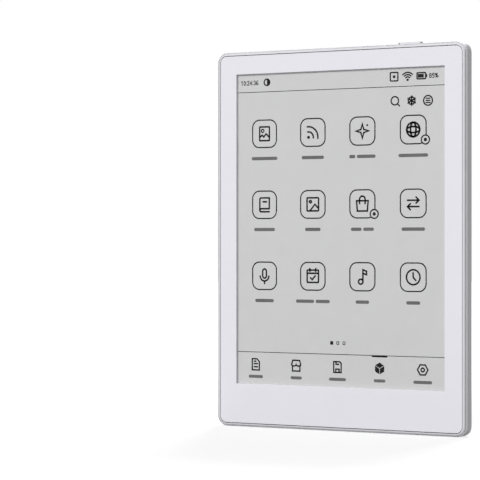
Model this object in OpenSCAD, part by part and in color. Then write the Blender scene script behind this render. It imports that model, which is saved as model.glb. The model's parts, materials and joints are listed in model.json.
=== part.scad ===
// A thin electronic-paper reader, built as it comes apart on a bench.
// Every piece is drawn lying on its back: X across, Y up from the bottom edge and Z from the back
// face to the front. upright() then stands it on its bottom edge with the screen facing -Y.
// A depth is always measured behind the front face, so it grows towards the back cover.

/* [Body] */
// Thickness of the body
body_t = 6.8; // [6.7:0.1:8.5]
// Corner radius of the body, seen from the front
corner_r = 4.1; // [3.5:0.1:5.5]
// Rounding of the front rim
front_edge_r = 0.8; // [0.05:0.05:1]
// Rounding of the back edge
back_edge_r = 1.1; // [0.5:0.05:1.2]
// Side wall of the rear cover
cover_wall = 1; // [0.9:0.05:1.2]
// Floor of the rear cover
cover_floor = 1; // [0.9:0.05:1.1]
// Depth of the line where the rear cover meets the frame
parting_d = 2.25; // [2:0.05:2.3]
// Open groove along that line
parting_gap = 0.12; // [0.05:0.01:0.2]
// Clearance between the frame's skirt and the rear cover
skirt_gap = 0.1; // [0.05:0.05:0.2]

/* [Front panel] */
// Width of the frame's rim round the panel
lip_w = 1.25; // [1.05:0.01:1.4]
// Clearance round the panel
panel_gap = 0.2; // [0.05:0.01:0.25]
// Thickness of the panel
panel_t = 1.1; // [1:0.05:1.2]
// Width of the window
window_w = 90.6; // [80:0.1:100]
// Height of the window
window_h = 122.4; // [110:0.1:135]
// From the window to the body's sides
side_border = 8.7; // [8:0.1:12]
// From the window down to the bottom of the body
chin_h = 17.06; // [15.5:0.01:20]
// From the window up to the top of the body
brow_h = 8.84; // [8:0.01:12]
// Thickness of the adhesive films
tape_t = 0.1; // [0.05:0.01:0.12]

/* [Display] */
// Thickness of the touch film
touch_t = 0.25; // [0.2:0.01:0.3]
// Thickness of the light guide
guide_t = 0.5; // [0.45:0.01:0.55]
// Thickness of the electronic-paper film
film_t = 0.3; // [0.25:0.01:0.35]
// Thickness of the glass backplane
glass_t = 0.5; // [0.4:0.01:0.55]
// Backplane beyond the window on each side
glass_side = 5.6; // [5:0.1:5.7]
// Backplane above the window
glass_top = 4.8; // [4.5:0.1:5]
// Height of the backplane's lower edge above the bottom of the body
glass_y0 = 5.96; // [5.5:0.01:6.5]
// Ledge of the backplane that carries the driver chips
ledge_h = 4.7; // [4.4:0.1:5.2]
// Clearance round the backplane in the frame
pocket_gap = 0.2; // [0.1:0.05:0.3]
// Number of lamps along the light guide
lamp_count = 14; // [8:1:18]
// Length of one lamp
lamp_l = 2.6; // [1.6:0.1:3.2]
// Thickness of the flexible circuits
flex_t = 0.1; // [0.08:0.01:0.15]

/* [Frame] */
// From the body's side to the fine groove round the frame's rim
rim_groove_in = 0.17; // [0.15:0.01:0.5]
// Width of that groove
rim_groove_w = 0.18; // [0.1:0.01:0.3]
// Depth of the bottom of that groove
rim_groove_d = 0.95; // [0.8:0.01:1.1]
// Depth of the frame's shoulder outside the groove
shoulder_d = 0.55; // [0.3:0.05:0.7]
// Rounding of that shoulder
shoulder_r = 0.12; // [0.05:0.01:0.15]
// Thickness of the frame's plate behind the display
plate_t = 0.5; // [0.4:0.05:0.6]
// Height of the bosses under the main board
standoff_h = 0.25; // [0.2:0.01:0.35]
// Radius of those bosses
boss_r = 1.9; // [1.6:0.1:2.5]
// Length of a snap hook
hook_l = 6; // [3:0.5:9]
// How far a snap hook reaches into the cover's wall
hook_out = 0.35; // [0.2:0.05:0.4]
// Thickness of a snap hook
hook_t = 0.5; // [0.3:0.05:0.55]

/* [Main board] */
// From the main board to the body's sides
board_side = 4; // [3.6:0.1:4.6]
// Height of the main board
board_h = 38; // [37:0.1:42]
// Thickness of the board
board_t = 0.8; // [0.7:0.05:0.9]
// Distance of the screws in from the board's sides
screw_in = 3.5; // [3:0.1:4]
// Radius of a screw's shank
screw_r = 0.7; // [0.5:0.05:0.8]
// Radius of a screw's head
screw_head_r = 1.3; // [1.1:0.05:1.5]
// Thickness of a screw's head
screw_head_t = 0.4; // [0.3:0.05:0.6]
// Clearance round a screw's shank
screw_gap = 0.04; // [0.02:0.01:0.08]
// Thickness of the sheet metal of the shields
shield_wall = 0.15; // [0.1:0.01:0.2]
// Clearance between the tallest parts on the board and the cover's floor
board_headroom = 0.2; // [0.15:0.01:0.3]

/* [Battery] */
// From the cell up to the top of the body
cell_top_room = 10.6; // [10:0.1:16]
// Between the antenna's cable and the cell
cell_cable_room = 5.8; // [3:0.1:12]
// Between the cell and the key flex, where the cover has its ribs
cell_rib_room = 18.8; // [14:0.1:26]
// Space left for the cell to swell
cell_slack = 0.15; // [0.1:0.01:0.3]
// Width of the cell's protection board
guard_w = 40; // [30:1:46]
// Height of the protection board
guard_h = 3; // [2:0.1:3.2]
// Thickness of the protection board
guard_t = 0.6; // [0.4:0.05:0.8]
// Radius of a battery lead
lead_r = 0.35; // [0.25:0.01:0.38]

/* [Ports] */
// Outer width of the charging socket's shell
usb_w = 8.94; // [8.9:0.01:9.1]
// Outer height of the charging socket's shell
usb_h = 3.16; // [3.1:0.01:3.2]
// Wall of the shell
usb_wall = 0.3; // [0.2:0.05:0.35]
// Length of the shell
usb_l = 7.3; // [7:0.1:7.5]
// How far the shell's mouth lies inside the bottom face
usb_sunk = 0.3; // [0.1:0.05:0.5]
// Clearance round the shell in the cover
usb_gap = 0.1; // [0.05:0.01:0.15]
// Sideways place of the card socket's centre
card_x = -14; // [-15:0.1:-13.6]
// Width of the card socket
card_socket_w = 14; // [13.8:0.1:14.4]
// Length of the card socket
card_socket_l = 15.2; // [14.8:0.1:15.6]
// Width of the space for the card
card_space_w = 11.3; // [11.1:0.05:11.4]
// Travel of the card slider
card_travel = 4.2; // [3:0.1:4.5]
// Sideways place of the microphone
mic_x = 9; // [8:0.1:10]
// Radius of the microphone's sound hole
mic_r = 0.4; // [0.3:0.05:0.5]

/* [Power button] */
// From the button's centre to the body's right side
button_in = 24.5; // [22:0.1:34]
// Length of the button
button_l = 10; // [8:0.1:12]
// Thickness of the button
button_t = 1.7; // [1.2:0.1:1.8]
// How far the button stands out of the top edge
button_out = 0.9; // [0.5:0.05:1.1]
// Travel of the button
button_travel = 0.3; // [0.2:0.01:0.35]
// Clearance round the button in the cover
button_gap = 0.1; // [0.05:0.01:0.12]

/* [Accent line] */
// Height of the line above the bottom of the body
line_y = 23; // [12:0.5:60]
// Width of the line
line_w = 0.5; // [0.3:0.05:1]
// Distance of the line's ends from the body's sides
line_end = 2.5; // [2:0.1:8]
// Depth of the groove that holds the line
line_t = 0.25; // [0.15:0.05:0.4]

/* [Hidden] */
$fn = 64;
over = 1;          // how far a cut runs past the face that it opens

// Outer size and window
body_w = window_w + 2 * side_border;
body_h = chin_h + window_h + brow_h;
window_y = chin_h;
window_y1 = window_y + window_h;

// Depths, counted from the front face to the back
d_touch = panel_t + tape_t;
d_guide = d_touch + touch_t;
d_film = d_guide + guide_t;
d_glass = d_film + film_t;
d_glass_back = d_glass + glass_t;
d_plate = d_glass_back + tape_t;
d_plate_back = d_plate + plate_t;
d_board = d_plate_back + standoff_h;
d_board_back = d_board + board_t;
d_cover_in = body_t - cover_floor;
d_parts_top = d_cover_in - board_headroom;
d_cell = d_plate_back + tape_t;
d_cell_back = d_cover_in - cell_slack;

// Display outlines
glass_w = window_w + 2 * glass_side;
glass_y1 = window_y1 + glass_top;
pocket_y0 = glass_y0 - pocket_gap;
film_rim = 1.5;                                // film beyond the window
film_y0 = glass_y0 + ledge_h;
lamp_deep = 1.1;                               // lamp measured towards the light guide
lamp_gap = 0.05;
strip_y0 = film_y0 + 0.1;
strip_h = 1.65;                                // strip of the light flex under the lamps
guide_w = window_w + 7;
guide_y0 = strip_y0 + strip_h + lamp_gap;
guide_y1 = window_y1 + 3.6;
touch_side = 0.2;                              // backplane beyond the touch film
touch_w = glass_w - 2 * touch_side;
touch_y0 = glass_y0 + 3.1;
touch_y1 = glass_y1 - touch_side;
driver_l = 18;
driver_h = 1.2;
driver_y0 = glass_y0 + 2.1;

// Frame
skirt_in = cover_wall + skirt_gap;             // the skirt's outer face, in from the body's side
bay_wall = 1.5;                                // wall between the rear cover and the tails' bay
bay_y0 = skirt_in + bay_wall;
hook_gap = 0.1;
hook_d0 = d_plate_back - 0.1 - hook_t;

// Main board
board_w = body_w - 2 * board_side;
board_low_y = pocket_y0 + 0.24;                // lower edge where the tails pass
board_y1 = board_low_y + board_h;
board_foot_y = skirt_in + 0.8;                 // lower edge where the ports stand
foot_side = 3.5;                               // board beyond the ports
board_foot_x0 = card_x - card_socket_w / 2 - foot_side;
board_foot_x1 = mic_x + foot_side;
screw_x = board_w / 2 - screw_in;
screws = [for (s = [-1, 1], y = [board_low_y + screw_in, board_y1 - screw_in]) [s * screw_x, y]];
screw_deep = d_board - d_plate - 0.1;          // blind bore in boss and plate

// Flexible tails between the board's foot and its lower screws: [sideways centre, width]
tail_room = 0.5;
plug_side = 1.2;                               // connector beyond its tail
light_tail_w = 4;
light_tail_x1 = board_foot_x0 - tail_room - 1;
touch_tail_x0 = boss_r - screw_x + 1.1;
touch_tail_x1 = light_tail_x1 - light_tail_w - 2 * plug_side - 0.1;
display_tail_x0 = board_foot_x1 + tail_room;
display_tail_x1 = screw_x - boss_r - 2.1;
display_tail = [(display_tail_x0 + display_tail_x1) / 2, display_tail_x1 - display_tail_x0];
touch_tail = [(touch_tail_x0 + touch_tail_x1) / 2, touch_tail_x1 - touch_tail_x0];
light_tail = [light_tail_x1 - light_tail_w / 2, light_tail_w];
tails = [display_tail, touch_tail, light_tail];
tail_seat = 0.2;                               // a tail's bend above the floor of its bay
plug_y0 = board_low_y + 5.5;                   // connectors stand here on the board
plug_y1 = plug_y0 + 3;
plug_h = 0.95;
plug_grip = 1.2;                               // tail inside its connector
tail_gap = 0.02;

// Snap hooks
side_hooks = [for (k = [1, 3, 5]) k * body_h / 6];
top_hooks = [-0.3 * body_w, 0];
bottom_hooks = [touch_tail[0] - hook_l / 2, display_tail[0] + hook_l];

// Battery
guard_gap = 0.3;
guard_y0 = board_y1 + 2.4;
cell_y0 = guard_y0 + guard_h + guard_gap;
cell_y1 = body_h - cell_top_room;
coax_r = 0.4;
coax_x = 1.2 - board_w / 2;
key_x = board_w / 2 - 8.2;
cell_x0 = coax_x + cell_cable_room;
cell_x1 = key_x - cell_rib_room;
cell_x = (cell_x0 + cell_x1) / 2;
rib_t = 0.8;
rib_in = 3;                                    // from the cell to the nearest rib
rib_pitch = 7;
d_guard_back = d_cell + guard_t;
tape_strip_w = 9;
lead_pitch = 1.2;
battery_plug_y0 = board_y1 - 4.6;
battery_plug_y1 = board_y1 - 2.4;
battery_plug_w = 4.6;
battery_socket_floor = 0.2;

// Charging socket
d_usb = d_plate + 0.02 + usb_h / 2;
usb_y1 = usb_sunk + usb_l;
usb_notch = usb_w / 2 + 0.15;
usb_back_wall = 1.4;
usb_relief = 0.07;                             // clearance behind the shell in the cover's floor

// Card socket
card_h = d_parts_top + 0.1 - d_board_back;
card_floor = 0.25;
card_lid_t = 0.15;
card_y0 = skirt_in + 0.4;
card_y1 = card_y0 + card_socket_l;
card_end_wall = 0.6;
card_left_wall = 0.6;
card_space_x0 = card_x - card_socket_w / 2 + card_left_wall;
card_space_x1 = card_space_x0 + card_space_w;
card_channel_w = 1.6;
slider_gap = 0.08;
slider_l = 5;
slider_y0 = card_y0 + 1.7;
slider_y1 = slider_y0 + slider_l;
d_card0 = d_board_back + card_floor;
d_card1 = d_board_back + card_h - card_lid_t;
d_card = (d_card0 + d_card1) / 2;

// Power button
button_x = body_w / 2 - button_in;
d_button = parting_d + parting_gap + 0.23 + button_gap + button_t / 2;
flange_more = 1.1;                             // flange beyond the button at each end
flange_t = 0.5;
flange_y1 = body_h - cover_wall - 0.05;
flange_y0 = flange_y1 - flange_t;
switch_w = 3.6;
switch_l = 2.8;
switch_h = 1.3;
switch_y1 = flange_y0 - button_travel - 0.15;
switch_y0 = switch_y1 - switch_l;
d_switch = d_plate_back + flex_t;
plunger_w = 1.5;
plunger_h = 0.7;
plunger_in = 0.6;
d_plunger = d_switch + switch_h / 2;
flange_d0 = d_button - button_t / 2 - 0.05;
flange_d1 = max(d_plunger + plunger_h / 2 + 0.1, d_button + button_t / 2 + 0.05);

// Key flex up the right side of the cell
key_w = 2.4;
key_plug_y = board_y1 - 2.6;

// Antenna
antenna_y0 = cell_y1 + 1.5;
antenna_y1 = body_h - skirt_in - 1.3;
antenna_x0 = 8 - body_w / 2;
antenna_w = 32;
wifi = [coax_x + 13.3, board_low_y + 24, 13, 11];      // shield: centre, width and height
antenna_plug = [coax_x + 4, wifi[1]];

// ---- helpers ----

// Stands a piece that is drawn lying on its back upright
module upright() {
    translate([0, body_t / 2, 0]) rotate([90, 0, 0]) children();
}

// Extrudes an outline in X and Y between two depths
module slab(from, to) {
    translate([0, 0, body_t - to]) linear_extrude(to - from) children();
}

// Extrudes an outline in X and depth between two heights
module column(from, to) {
    translate([0, from, body_t]) rotate([-90, 0, 0]) linear_extrude(to - from) children();
}

// Extrudes an outline in height and depth between two sideways places
module beam(from, to) {
    translate([from, 0, body_t]) rotate([90, 0, 90]) mirror([0, 1, 0])
        linear_extrude(to - from) children();
}

// Rectangle between two corners
module area(x0, x1, y0, y1) {
    translate([x0, y0]) square([x1 - x0, y1 - y0]);
}

// Rectangle with round corners between two corners
module round_area(x0, x1, y0, y1, r) {
    area(x0 + r, x1 - r, y0, y1);
    area(x0, x1, y0 + r, y1 - r);
    for (x = [x0 + r, x1 - r], y = [y0 + r, y1 - r]) translate([x, y]) circle(r);
}

// Slot with round ends, lying along X
module slot(x, y, l, h) {
    area(x - l / 2 + h / 2, x + l / 2 - h / 2, y - h / 2, y + h / 2);
    for (s = [-1, 1]) translate([x + s * (l - h) / 2, y]) circle(h / 2);
}

// The body's outline, moved in from its sides
module outline(inset) {
    round_area(inset - body_w / 2, body_w / 2 - inset, inset, body_h - inset, corner_r - inset);
}

// Rectangular block between two corners and two depths
module block(x0, x1, y0, y1, from, to) {
    slab(from, to) area(x0, x1, y0, y1);
}

// Section through the body's edge: X is the distance in from the side and Y the height above the
// back, with the outer corners rounded and the outer face moved in by inset
module edge_section(z0, z1, low_r, high_r, inset) {
    difference() {
        area(inset, corner_r, z0, z1);
        if (low_r > 0) difference() {
            area(inset - over, inset + low_r, z0 - over, z0 + low_r);
            translate([inset + low_r, z0 + low_r]) circle(low_r);
        }
        if (high_r > 0) difference() {
            area(inset - over, inset + high_r, z1 - high_r, z1 + over);
            translate([inset + high_r, z1 - high_r]) circle(high_r);
        }
    }
}

// Solid block of the body's outline with a rounded back edge, front edge or both
module body_block(z0, z1, low_r, high_r, inset = 0) {
    long_w = body_w - 2 * corner_r;
    long_h = body_h - 2 * corner_r;
    translate([-long_w / 2, corner_r, z0]) cube([long_w, long_h, z1 - z0]);
    for (s = [0, 1]) {
        translate([0, body_h / 2, 0]) rotate([0, 0, 180 * s])
            translate([-body_w / 2, long_h / 2, 0]) rotate([90, 0, 0])
                linear_extrude(long_h) edge_section(z0, z1, low_r, high_r, inset);
        translate([0, body_h / 2, 0]) rotate([0, 0, 180 * s])
            translate([-long_w / 2, -body_h / 2, 0]) rotate([90, 0, 90])
                linear_extrude(long_w) edge_section(z0, z1, low_r, high_r, inset);
        for (t = [0, 1]) translate([0, body_h / 2, 0]) mirror([s, 0, 0]) mirror([0, t, 0])
            translate([long_w / 2, long_h / 2, 0]) rotate_extrude(angle = 90)
                translate([corner_r, 0]) mirror([1, 0])
                    edge_section(z0, z1, low_r, high_r, inset);
    }
}

// Tail of a flexible circuit: down in front of the backplane, round its lower edge and up on to
// the back of the board
module tail(shape, d_start, y_start) {
    d_end = d_board_back + flex_t / 2;
    bend_r = (d_end - d_start - flex_t / 2) / 2;
    bend_y = bay_y0 + tail_seat + bend_r + flex_t / 2;
    beam(shape[0] - shape[1] / 2, shape[0] + shape[1] / 2) {
        area(bend_y, y_start, d_start, d_start + flex_t);
        area(bend_y, plug_y0 + plug_grip, d_board_back, d_board_back + flex_t);
        translate([bend_y, d_start + flex_t / 2 + bend_r]) difference() {
            circle(bend_r + flex_t / 2);
            circle(bend_r - flex_t / 2);
            translate([0, -2 * bend_r]) square(4 * bend_r);
        }
    }
}

// Connector on the board with a slot for its tail
module tail_connector(shape) {
    difference() {
        block(shape[0] - shape[1] / 2 - plug_side, shape[0] + shape[1] / 2 + plug_side,
            plug_y0, plug_y1, d_board_back, d_board_back + plug_h);
        block(shape[0] - shape[1] / 2 - tail_gap, shape[0] + shape[1] / 2 + tail_gap,
            plug_y0 - over, plug_y0 + plug_grip + tail_gap,
            d_board_back - over, d_board_back + flex_t + tail_gap);
    }
}

// Chip that lies on the back of the main board
module chip(x, y, w, h, t) {
    block(x - w / 2, x + w / 2, y - h / 2, y + h / 2, d_board_back, d_board_back + t);
}

// Sheet-metal can over a part of the main board
module can(x, y, w, h) {
    difference() {
        block(x - w / 2, x + w / 2, y - h / 2, y + h / 2, d_board_back, d_parts_top);
        block(x - w / 2 + shield_wall, x + w / 2 - shield_wall,
            y - h / 2 + shield_wall, y + h / 2 - shield_wall,
            d_board_back - over, d_parts_top - shield_wall);
    }
}

// Round wire along points of X, height and depth
function unit(v) = v / norm(v);
function heading(p, i) = unit(
    (i > 0 ? unit(p[i] - p[i - 1]) : [0, 0, 0])
    + (i < len(p) - 1 ? unit(p[i + 1] - p[i]) : [0, 0, 0]));
function ring(p, i, r, n, ref) =
    let (t = heading(p, i), u = unit(cross(t, ref)), v = cross(t, u))
    [for (k = [0 : n - 1]) p[i] + r * (cos(360 * k / n) * u + sin(360 * k / n) * v)];

module wire(points, r, n = 8, ref = [0, 0, 1]) {
    p = [for (q = points) [q[0], q[1], body_t - q[2]]];
    last = len(p) - 1;
    rings = [for (i = [0 : last]) each ring(p, i, r, n, ref)];
    sides = [for (i = [0 : last - 1], k = [0 : n - 1])
        let (a = i * n + k, b = i * n + (k + 1) % n) each [[a, b, b + n], [a, b + n, a + n]]];
    polyhedron(rings, concat([[for (k = [n - 1 : -1 : 0]) k]], sides,
        [[for (k = [0 : n - 1]) last * n + k]]));
}

// ---- casing ----

module front_bezel() {
    color("#E3E2E8") upright() difference() {
        slab(0, panel_t) outline(lip_w + panel_gap);
        block(-window_w / 2, window_w / 2, window_y, window_y1, -over, panel_t + over);
    }
}

module bezel_tape() {
    tape_w = 2;
    tape_short = 0.2;
    color("#2B2B2E") upright() difference() {
        slab(panel_t, d_touch) outline(lip_w + panel_gap + tape_short);
        slab(panel_t - over, d_touch + over) area(-window_w / 2 - tape_w, window_w / 2 + tape_w,
            window_y - tape_w, window_y1 + tape_w);
    }
}

module mid_frame() {
    key_notch = button_l / 2 + flange_more + 0.4;
    color("#DDDDE2") upright() difference() {
        union() {
            body_block(body_t - parting_d, body_t - shoulder_d, 0, shoulder_r);
            body_block(body_t - d_touch, body_t, 0, front_edge_r, rim_groove_in + rim_groove_w);
            slab(parting_d, d_plate_back) outline(skirt_in);
            slab(d_plate_back, d_board) for (p = screws) translate(p) circle(boss_r);
            snap_hooks(hook_l, hook_out, hook_d0, hook_d0 + hook_t);
            // rests for the antenna's cable
            for (y = [cell_y0 + 10, (cell_y0 + cell_y1) / 2, cell_y1 - 10])
                block(coax_x - 1, coax_x + 1, y - 1, y + 1, d_plate_back, d_coax - coax_r);
        }
        slab(-over, d_touch) outline(lip_w);
        slab(-over, rim_groove_d) difference() {
            outline(rim_groove_in);
            outline(rim_groove_in + rim_groove_w);
        }
        block(-glass_w / 2 - pocket_gap, glass_w / 2 + pocket_gap, pocket_y0,
            glass_y1 + pocket_gap, d_touch - over, d_plate);
        // bays where the flexible tails turn round the display's lower edge
        for (t = tails) block(t[0] - t[1] / 2 - tail_room, t[0] + t[1] / 2 + tail_room,
            bay_y0, pocket_y0, d_touch - over, d_plate_back + over);
        // room for the charging socket
        block(-usb_notch, usb_notch, -over, usb_y1 + 0.3, d_usb - usb_h / 2 - 0.02,
            d_plate_back + over);
        // room for the power button's flange
        block(button_x - key_notch, button_x + key_notch, flange_y0 - button_travel - 0.2,
            body_h + over, parting_d, d_plate_back + over);
        for (p = screws) slab(d_board - screw_deep, d_board + over) translate(p)
            circle(screw_r + screw_gap);
    }
}

// Hooks along the skirt, or the pockets that take them when they are drawn larger
module snap_hooks(l, reach, from, to) {
    x = body_w / 2 - skirt_in;
    for (s = [-1, 1], y = side_hooks) block(s > 0 ? x - 0.3 : -x - reach,
        s > 0 ? x + reach : -x + 0.3, y - l / 2, y + l / 2, from, to);
    for (t = top_hooks) block(t - l / 2, t + l / 2, body_h - skirt_in - 0.3,
        body_h - skirt_in + reach, from, to);
    for (t = bottom_hooks) block(t - l / 2, t + l / 2, skirt_in - reach, skirt_in + 0.3,
        from, to);
}

module rear_cover() {
    color("#E6E7EA") upright() difference() {
        union() {
            difference() {
                body_block(0, body_t - parting_d - parting_gap, back_edge_r, 0);
                slab(parting_d - over, d_cover_in) outline(cover_wall);
            }
            // stiffening ribs beside the cell
            for (x = [cell_x1 + rib_in, cell_x1 + rib_in + rib_pitch])
                block(x - rib_t / 2, x + rib_t / 2, cell_y0 + 4, cell_y1 - 4, d_cover_in - 0.8,
                    d_cover_in + 0.3);
        }
        snap_hooks(hook_l + 2 * hook_gap, hook_out + hook_gap, hook_d0 - hook_gap,
            hook_d0 + hook_t + hook_gap);
        // charging socket: the hole in the wall and the relief in the floor
        column(-over, cover_wall + over)
            slot(0, d_usb, usb_w + 2 * usb_gap, usb_h + 2 * usb_gap);
        column(cover_wall - usb_gap, usb_y1 + 0.3)
            slot(0, d_usb, usb_w + 0.8, usb_h + 2 * usb_relief);
        // card slot
        column(-over, cover_wall + over) slot((card_space_x0 + card_space_x1) / 2, d_card,
            card_space_w + 0.2, d_card1 - d_card0 + 0.2);
        // sound hole
        column(-over, cover_wall + over) translate([mic_x, d_mic]) circle(mic_r);
        // power button
        column(body_h - cover_wall - over, body_h + over)
            slot(button_x, d_button, button_l + 2 * button_gap, button_t + 2 * button_gap);
        block(line_end - body_w / 2, body_w / 2 - line_end, line_y - line_w / 2,
            line_y + line_w / 2, body_t - line_t, body_t + over);
    }
}

module accent_line() {
    color("#D9D3C7") upright() block(line_end - body_w / 2, body_w / 2 - line_end,
        line_y - line_w / 2, line_y + line_w / 2, body_t - line_t, body_t);
}

// ---- display ----

module touch_film() {
    color("#C8C9C8", 0.6) upright()
        block(-touch_w / 2, touch_w / 2, touch_y0, touch_y1, d_touch, d_guide);
}

module touch_flex() {
    color("#B5763A") upright() tail(touch_tail, d_guide, touch_y0 + 1.3);
}

module touch_chip() {
    color("#26282B") upright()
        block(touch_tail[0] - 2, touch_tail[0] + 2, board_low_y + 0.8, board_low_y + 3.8,
            d_board_back + flex_t, d_board_back + flex_t + 0.7);
}

module touch_connector() {
    color("#E9E4D8") upright() tail_connector(touch_tail);
}

module light_guide() {
    color("#DDE6E8", 0.5) upright()
        block(-guide_w / 2, guide_w / 2, guide_y0, guide_y1, d_guide, d_film);
}

module light_leds() {
    pitch = guide_w / lamp_count;
    color("#F4EFD2") upright() for (k = [0 : lamp_count - 1]) let (x = (k + 0.5) * pitch - guide_w / 2)
        block(x - lamp_l / 2, x + lamp_l / 2, guide_y0 - lamp_gap - lamp_deep,
            guide_y0 - lamp_gap, d_guide, d_film - flex_t);
}

module light_flex() {
    color("#B5763A") upright() {
        block(-guide_w / 2, guide_w / 2, strip_y0, guide_y0 - lamp_gap, d_film - flex_t, d_film);
        tail(light_tail, d_film - flex_t, strip_y0 + 0.5);
    }
}

module light_connector() {
    color("#E9E4D8") upright() tail_connector(light_tail);
}

module epaper_film() {
    color("#C9C9C8") upright() block(-window_w / 2 - film_rim, window_w / 2 + film_rim,
        film_y0, window_y1 + film_rim, d_film, d_glass);
}

module display_glass() {
    color("#8E9A9A") upright()
        block(-glass_w / 2, glass_w / 2, glass_y0, glass_y1, d_glass, d_glass_back);
}

module display_drivers() {
    color("#1E2022") upright() for (x = [-1, 0, 1] * glass_w / 4)
        block(x - driver_l / 2, x + driver_l / 2, driver_y0, driver_y0 + driver_h,
            d_glass - 0.2, d_glass);
}

module display_flex() {
    color("#B5763A") upright() tail(display_tail, d_glass - flex_t, glass_y0 + 1.6);
}

module display_connector() {
    color("#E9E4D8") upright() tail_connector(display_tail);
}

module display_tape() {
    color("#2B2B2E") upright() for (s = [-1, 1])
        block(s * glass_w / 4 - tape_strip_w / 2, s * glass_w / 4 + tape_strip_w / 2,
            glass_y0 + 10, glass_y1 - 2, d_glass_back, d_plate);
}

// ---- battery ----

module battery_cell() {
    color("#B9BBBE") upright()
        block(cell_x0, cell_x1, cell_y0, cell_y1, d_cell, d_cell_back);
}

module battery_tape() {
    color("#F1F1EC") upright() for (s = [-1, 1])
        block(cell_x + s * guard_w / 3 - tape_strip_w / 2, cell_x + s * guard_w / 3 + tape_strip_w / 2,
            guard_y0, cell_y1 - 3, d_plate_back, d_cell);
}

module battery_board() {
    color("#2C6B45") upright() block(cell_x - guard_w / 2, cell_x + guard_w / 2,
        guard_y0, guard_y0 + guard_h, d_cell, d_guard_back);
}

module battery_tabs() {
    color("#CFCBBE") upright() for (s = [-1, 1])
        block(cell_x + s * guard_w / 3 - 2, cell_x + s * guard_w / 3 + 2,
            guard_y0 + guard_h - 1.2, cell_y0, d_guard_back, d_guard_back + 0.1);
}

// One of the cell's leads, from the protection board to the plug on the main board
module battery_lead(k) {
    x = cell_x + k * lead_pitch;
    d = d_board_back + lead_r + 0.15;
    upright() wire([
        [x, guard_y0 + 1.5, d_guard_back + lead_r],
        [x, guard_y0, d_guard_back + lead_r],
        [x, board_y1 + 1, d - 0.05],
        [x, board_y1, d],
        [x, battery_plug_y1, d]
    ], lead_r);
}

module battery_lead_red() {
    color("#B3261E") battery_lead(-1);
}

module battery_lead_black() {
    color("#232325") battery_lead(1);
}

module battery_lead_white() {
    color("#E8E8E6") battery_lead(0);
}

module battery_plug() {
    color("#F0EFEA") upright()
        block(cell_x - battery_plug_w / 2, cell_x + battery_plug_w / 2, battery_plug_y0,
            battery_plug_y1, d_board_back + battery_socket_floor, d_board_back + 2 * lead_r + 0.25);
}

module battery_socket() {
    wall = 0.4;
    color("#D8D4C8") upright() difference() {
        block(cell_x - battery_plug_w / 2 - wall, cell_x + battery_plug_w / 2 + wall,
            battery_plug_y0 - wall, battery_plug_y1, d_board_back, d_board_back + 0.8);
        block(cell_x - battery_plug_w / 2 - tail_gap, cell_x + battery_plug_w / 2 + tail_gap,
            battery_plug_y0 - tail_gap, battery_plug_y1 + over,
            d_board_back + battery_socket_floor, d_board_back + over);
    }
}

// ---- main board ----

module main_board() {
    color("#1F5B3A") upright() difference() {
        slab(d_board, d_board_back) {
            area(-board_w / 2, board_w / 2, board_low_y, board_y1);
            area(board_foot_x0, board_foot_x1, board_foot_y, board_low_y + over);
        }
        block(-usb_notch, usb_notch, board_foot_y - over, usb_y1 + 0.15, d_board - over,
            d_board_back + over);
        for (p = screws) slab(d_board - over, d_board_back + over) translate(p)
            circle(screw_r + screw_gap);
    }
}

shield = [13, board_low_y + 22, 27, 20];       // processor shield: centre, width and height
storage = [-11, shield[1] - 1, 11.5, 13];
power_x = board_w / 2 - 14;
coil = 3;                                      // storage inductors beside the power chips
coil_x = board_w / 2 - 6.4;

module processor() {
    color("#232528") upright() chip(shield[0] - 5.5, shield[1], 12, 12, 0.8);
}

module memory_chip() {
    color("#2B2D30") upright() chip(shield[0] + 7, shield[1] + 0.5, 9, 12, 0.7);
}

module processor_shield() {
    color("#C9CBCE") upright() can(shield[0], shield[1], shield[2], shield[3]);
}

module thermal_sheet() {
    color("#3A3B3D") upright() block(shield[0] - shield[2] / 2 + 2, shield[0] + shield[2] / 2 - 2,
        shield[1] - shield[3] / 2 + 2, shield[1] + shield[3] / 2 - 2,
        d_parts_top, d_parts_top + 0.1);
}

module storage_chip() {
    color("#26282B") upright() chip(storage[0], storage[1], storage[2], storage[3], 0.8);
}

module power_chip() {
    color("#26282B") upright() chip(power_x, shield[1] + 6, 6, 6, 0.7);
}

module display_power_chip() {
    color("#26282B") upright() chip(power_x, shield[1] - 6, 7, 7, 0.7);
}

module board_parts() {
    cap_row_y = shield[1] + shield[3] / 2 + 2.2;
    store_x0 = storage[0] - storage[2] / 2;
    store_y0 = storage[1] - storage[3] / 2;
    color("#9A8C78") upright() {
        for (k = [-1.5, -0.6, 0.6, 1.5]) chip(coil_x, shield[1] + 6.4 * k, coil, coil, 0.9);
        // rows of capacitors along the shield and round the storage chip
        for (k = [-4 : 5]) chip(shield[0] + (k + 0.5) * 3.2, cap_row_y, 1.6, 0.8, 0.6);
        for (k = [0 : 4]) chip(store_x0 + 1 + 2.4 * k, store_y0 - 1.5, 1.2, 0.7, 0.5);
        for (k = [0 : 5]) chip(store_x0 - 3.7, store_y0 + 1 + 2.2 * k, 0.7, 1.2, 0.5);
        // timing crystal
        chip(wifi[0] + 2, wifi[1] + wifi[3] / 2 + 2.5, 3.2, 2.5, 0.7);
    }
}

module wifi_chip() {
    color("#232528") upright() chip(wifi[0], wifi[1], 7, 7, 0.7);
}

module wifi_shield() {
    color("#C9CBCE") upright() can(wifi[0], wifi[1], wifi[2], wifi[3]);
}

module hall_sensor() {
    color("#26282B") upright() chip(6 - board_w / 2, shield[1] - 6, 2.9, 1.6, 0.8);
}

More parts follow.
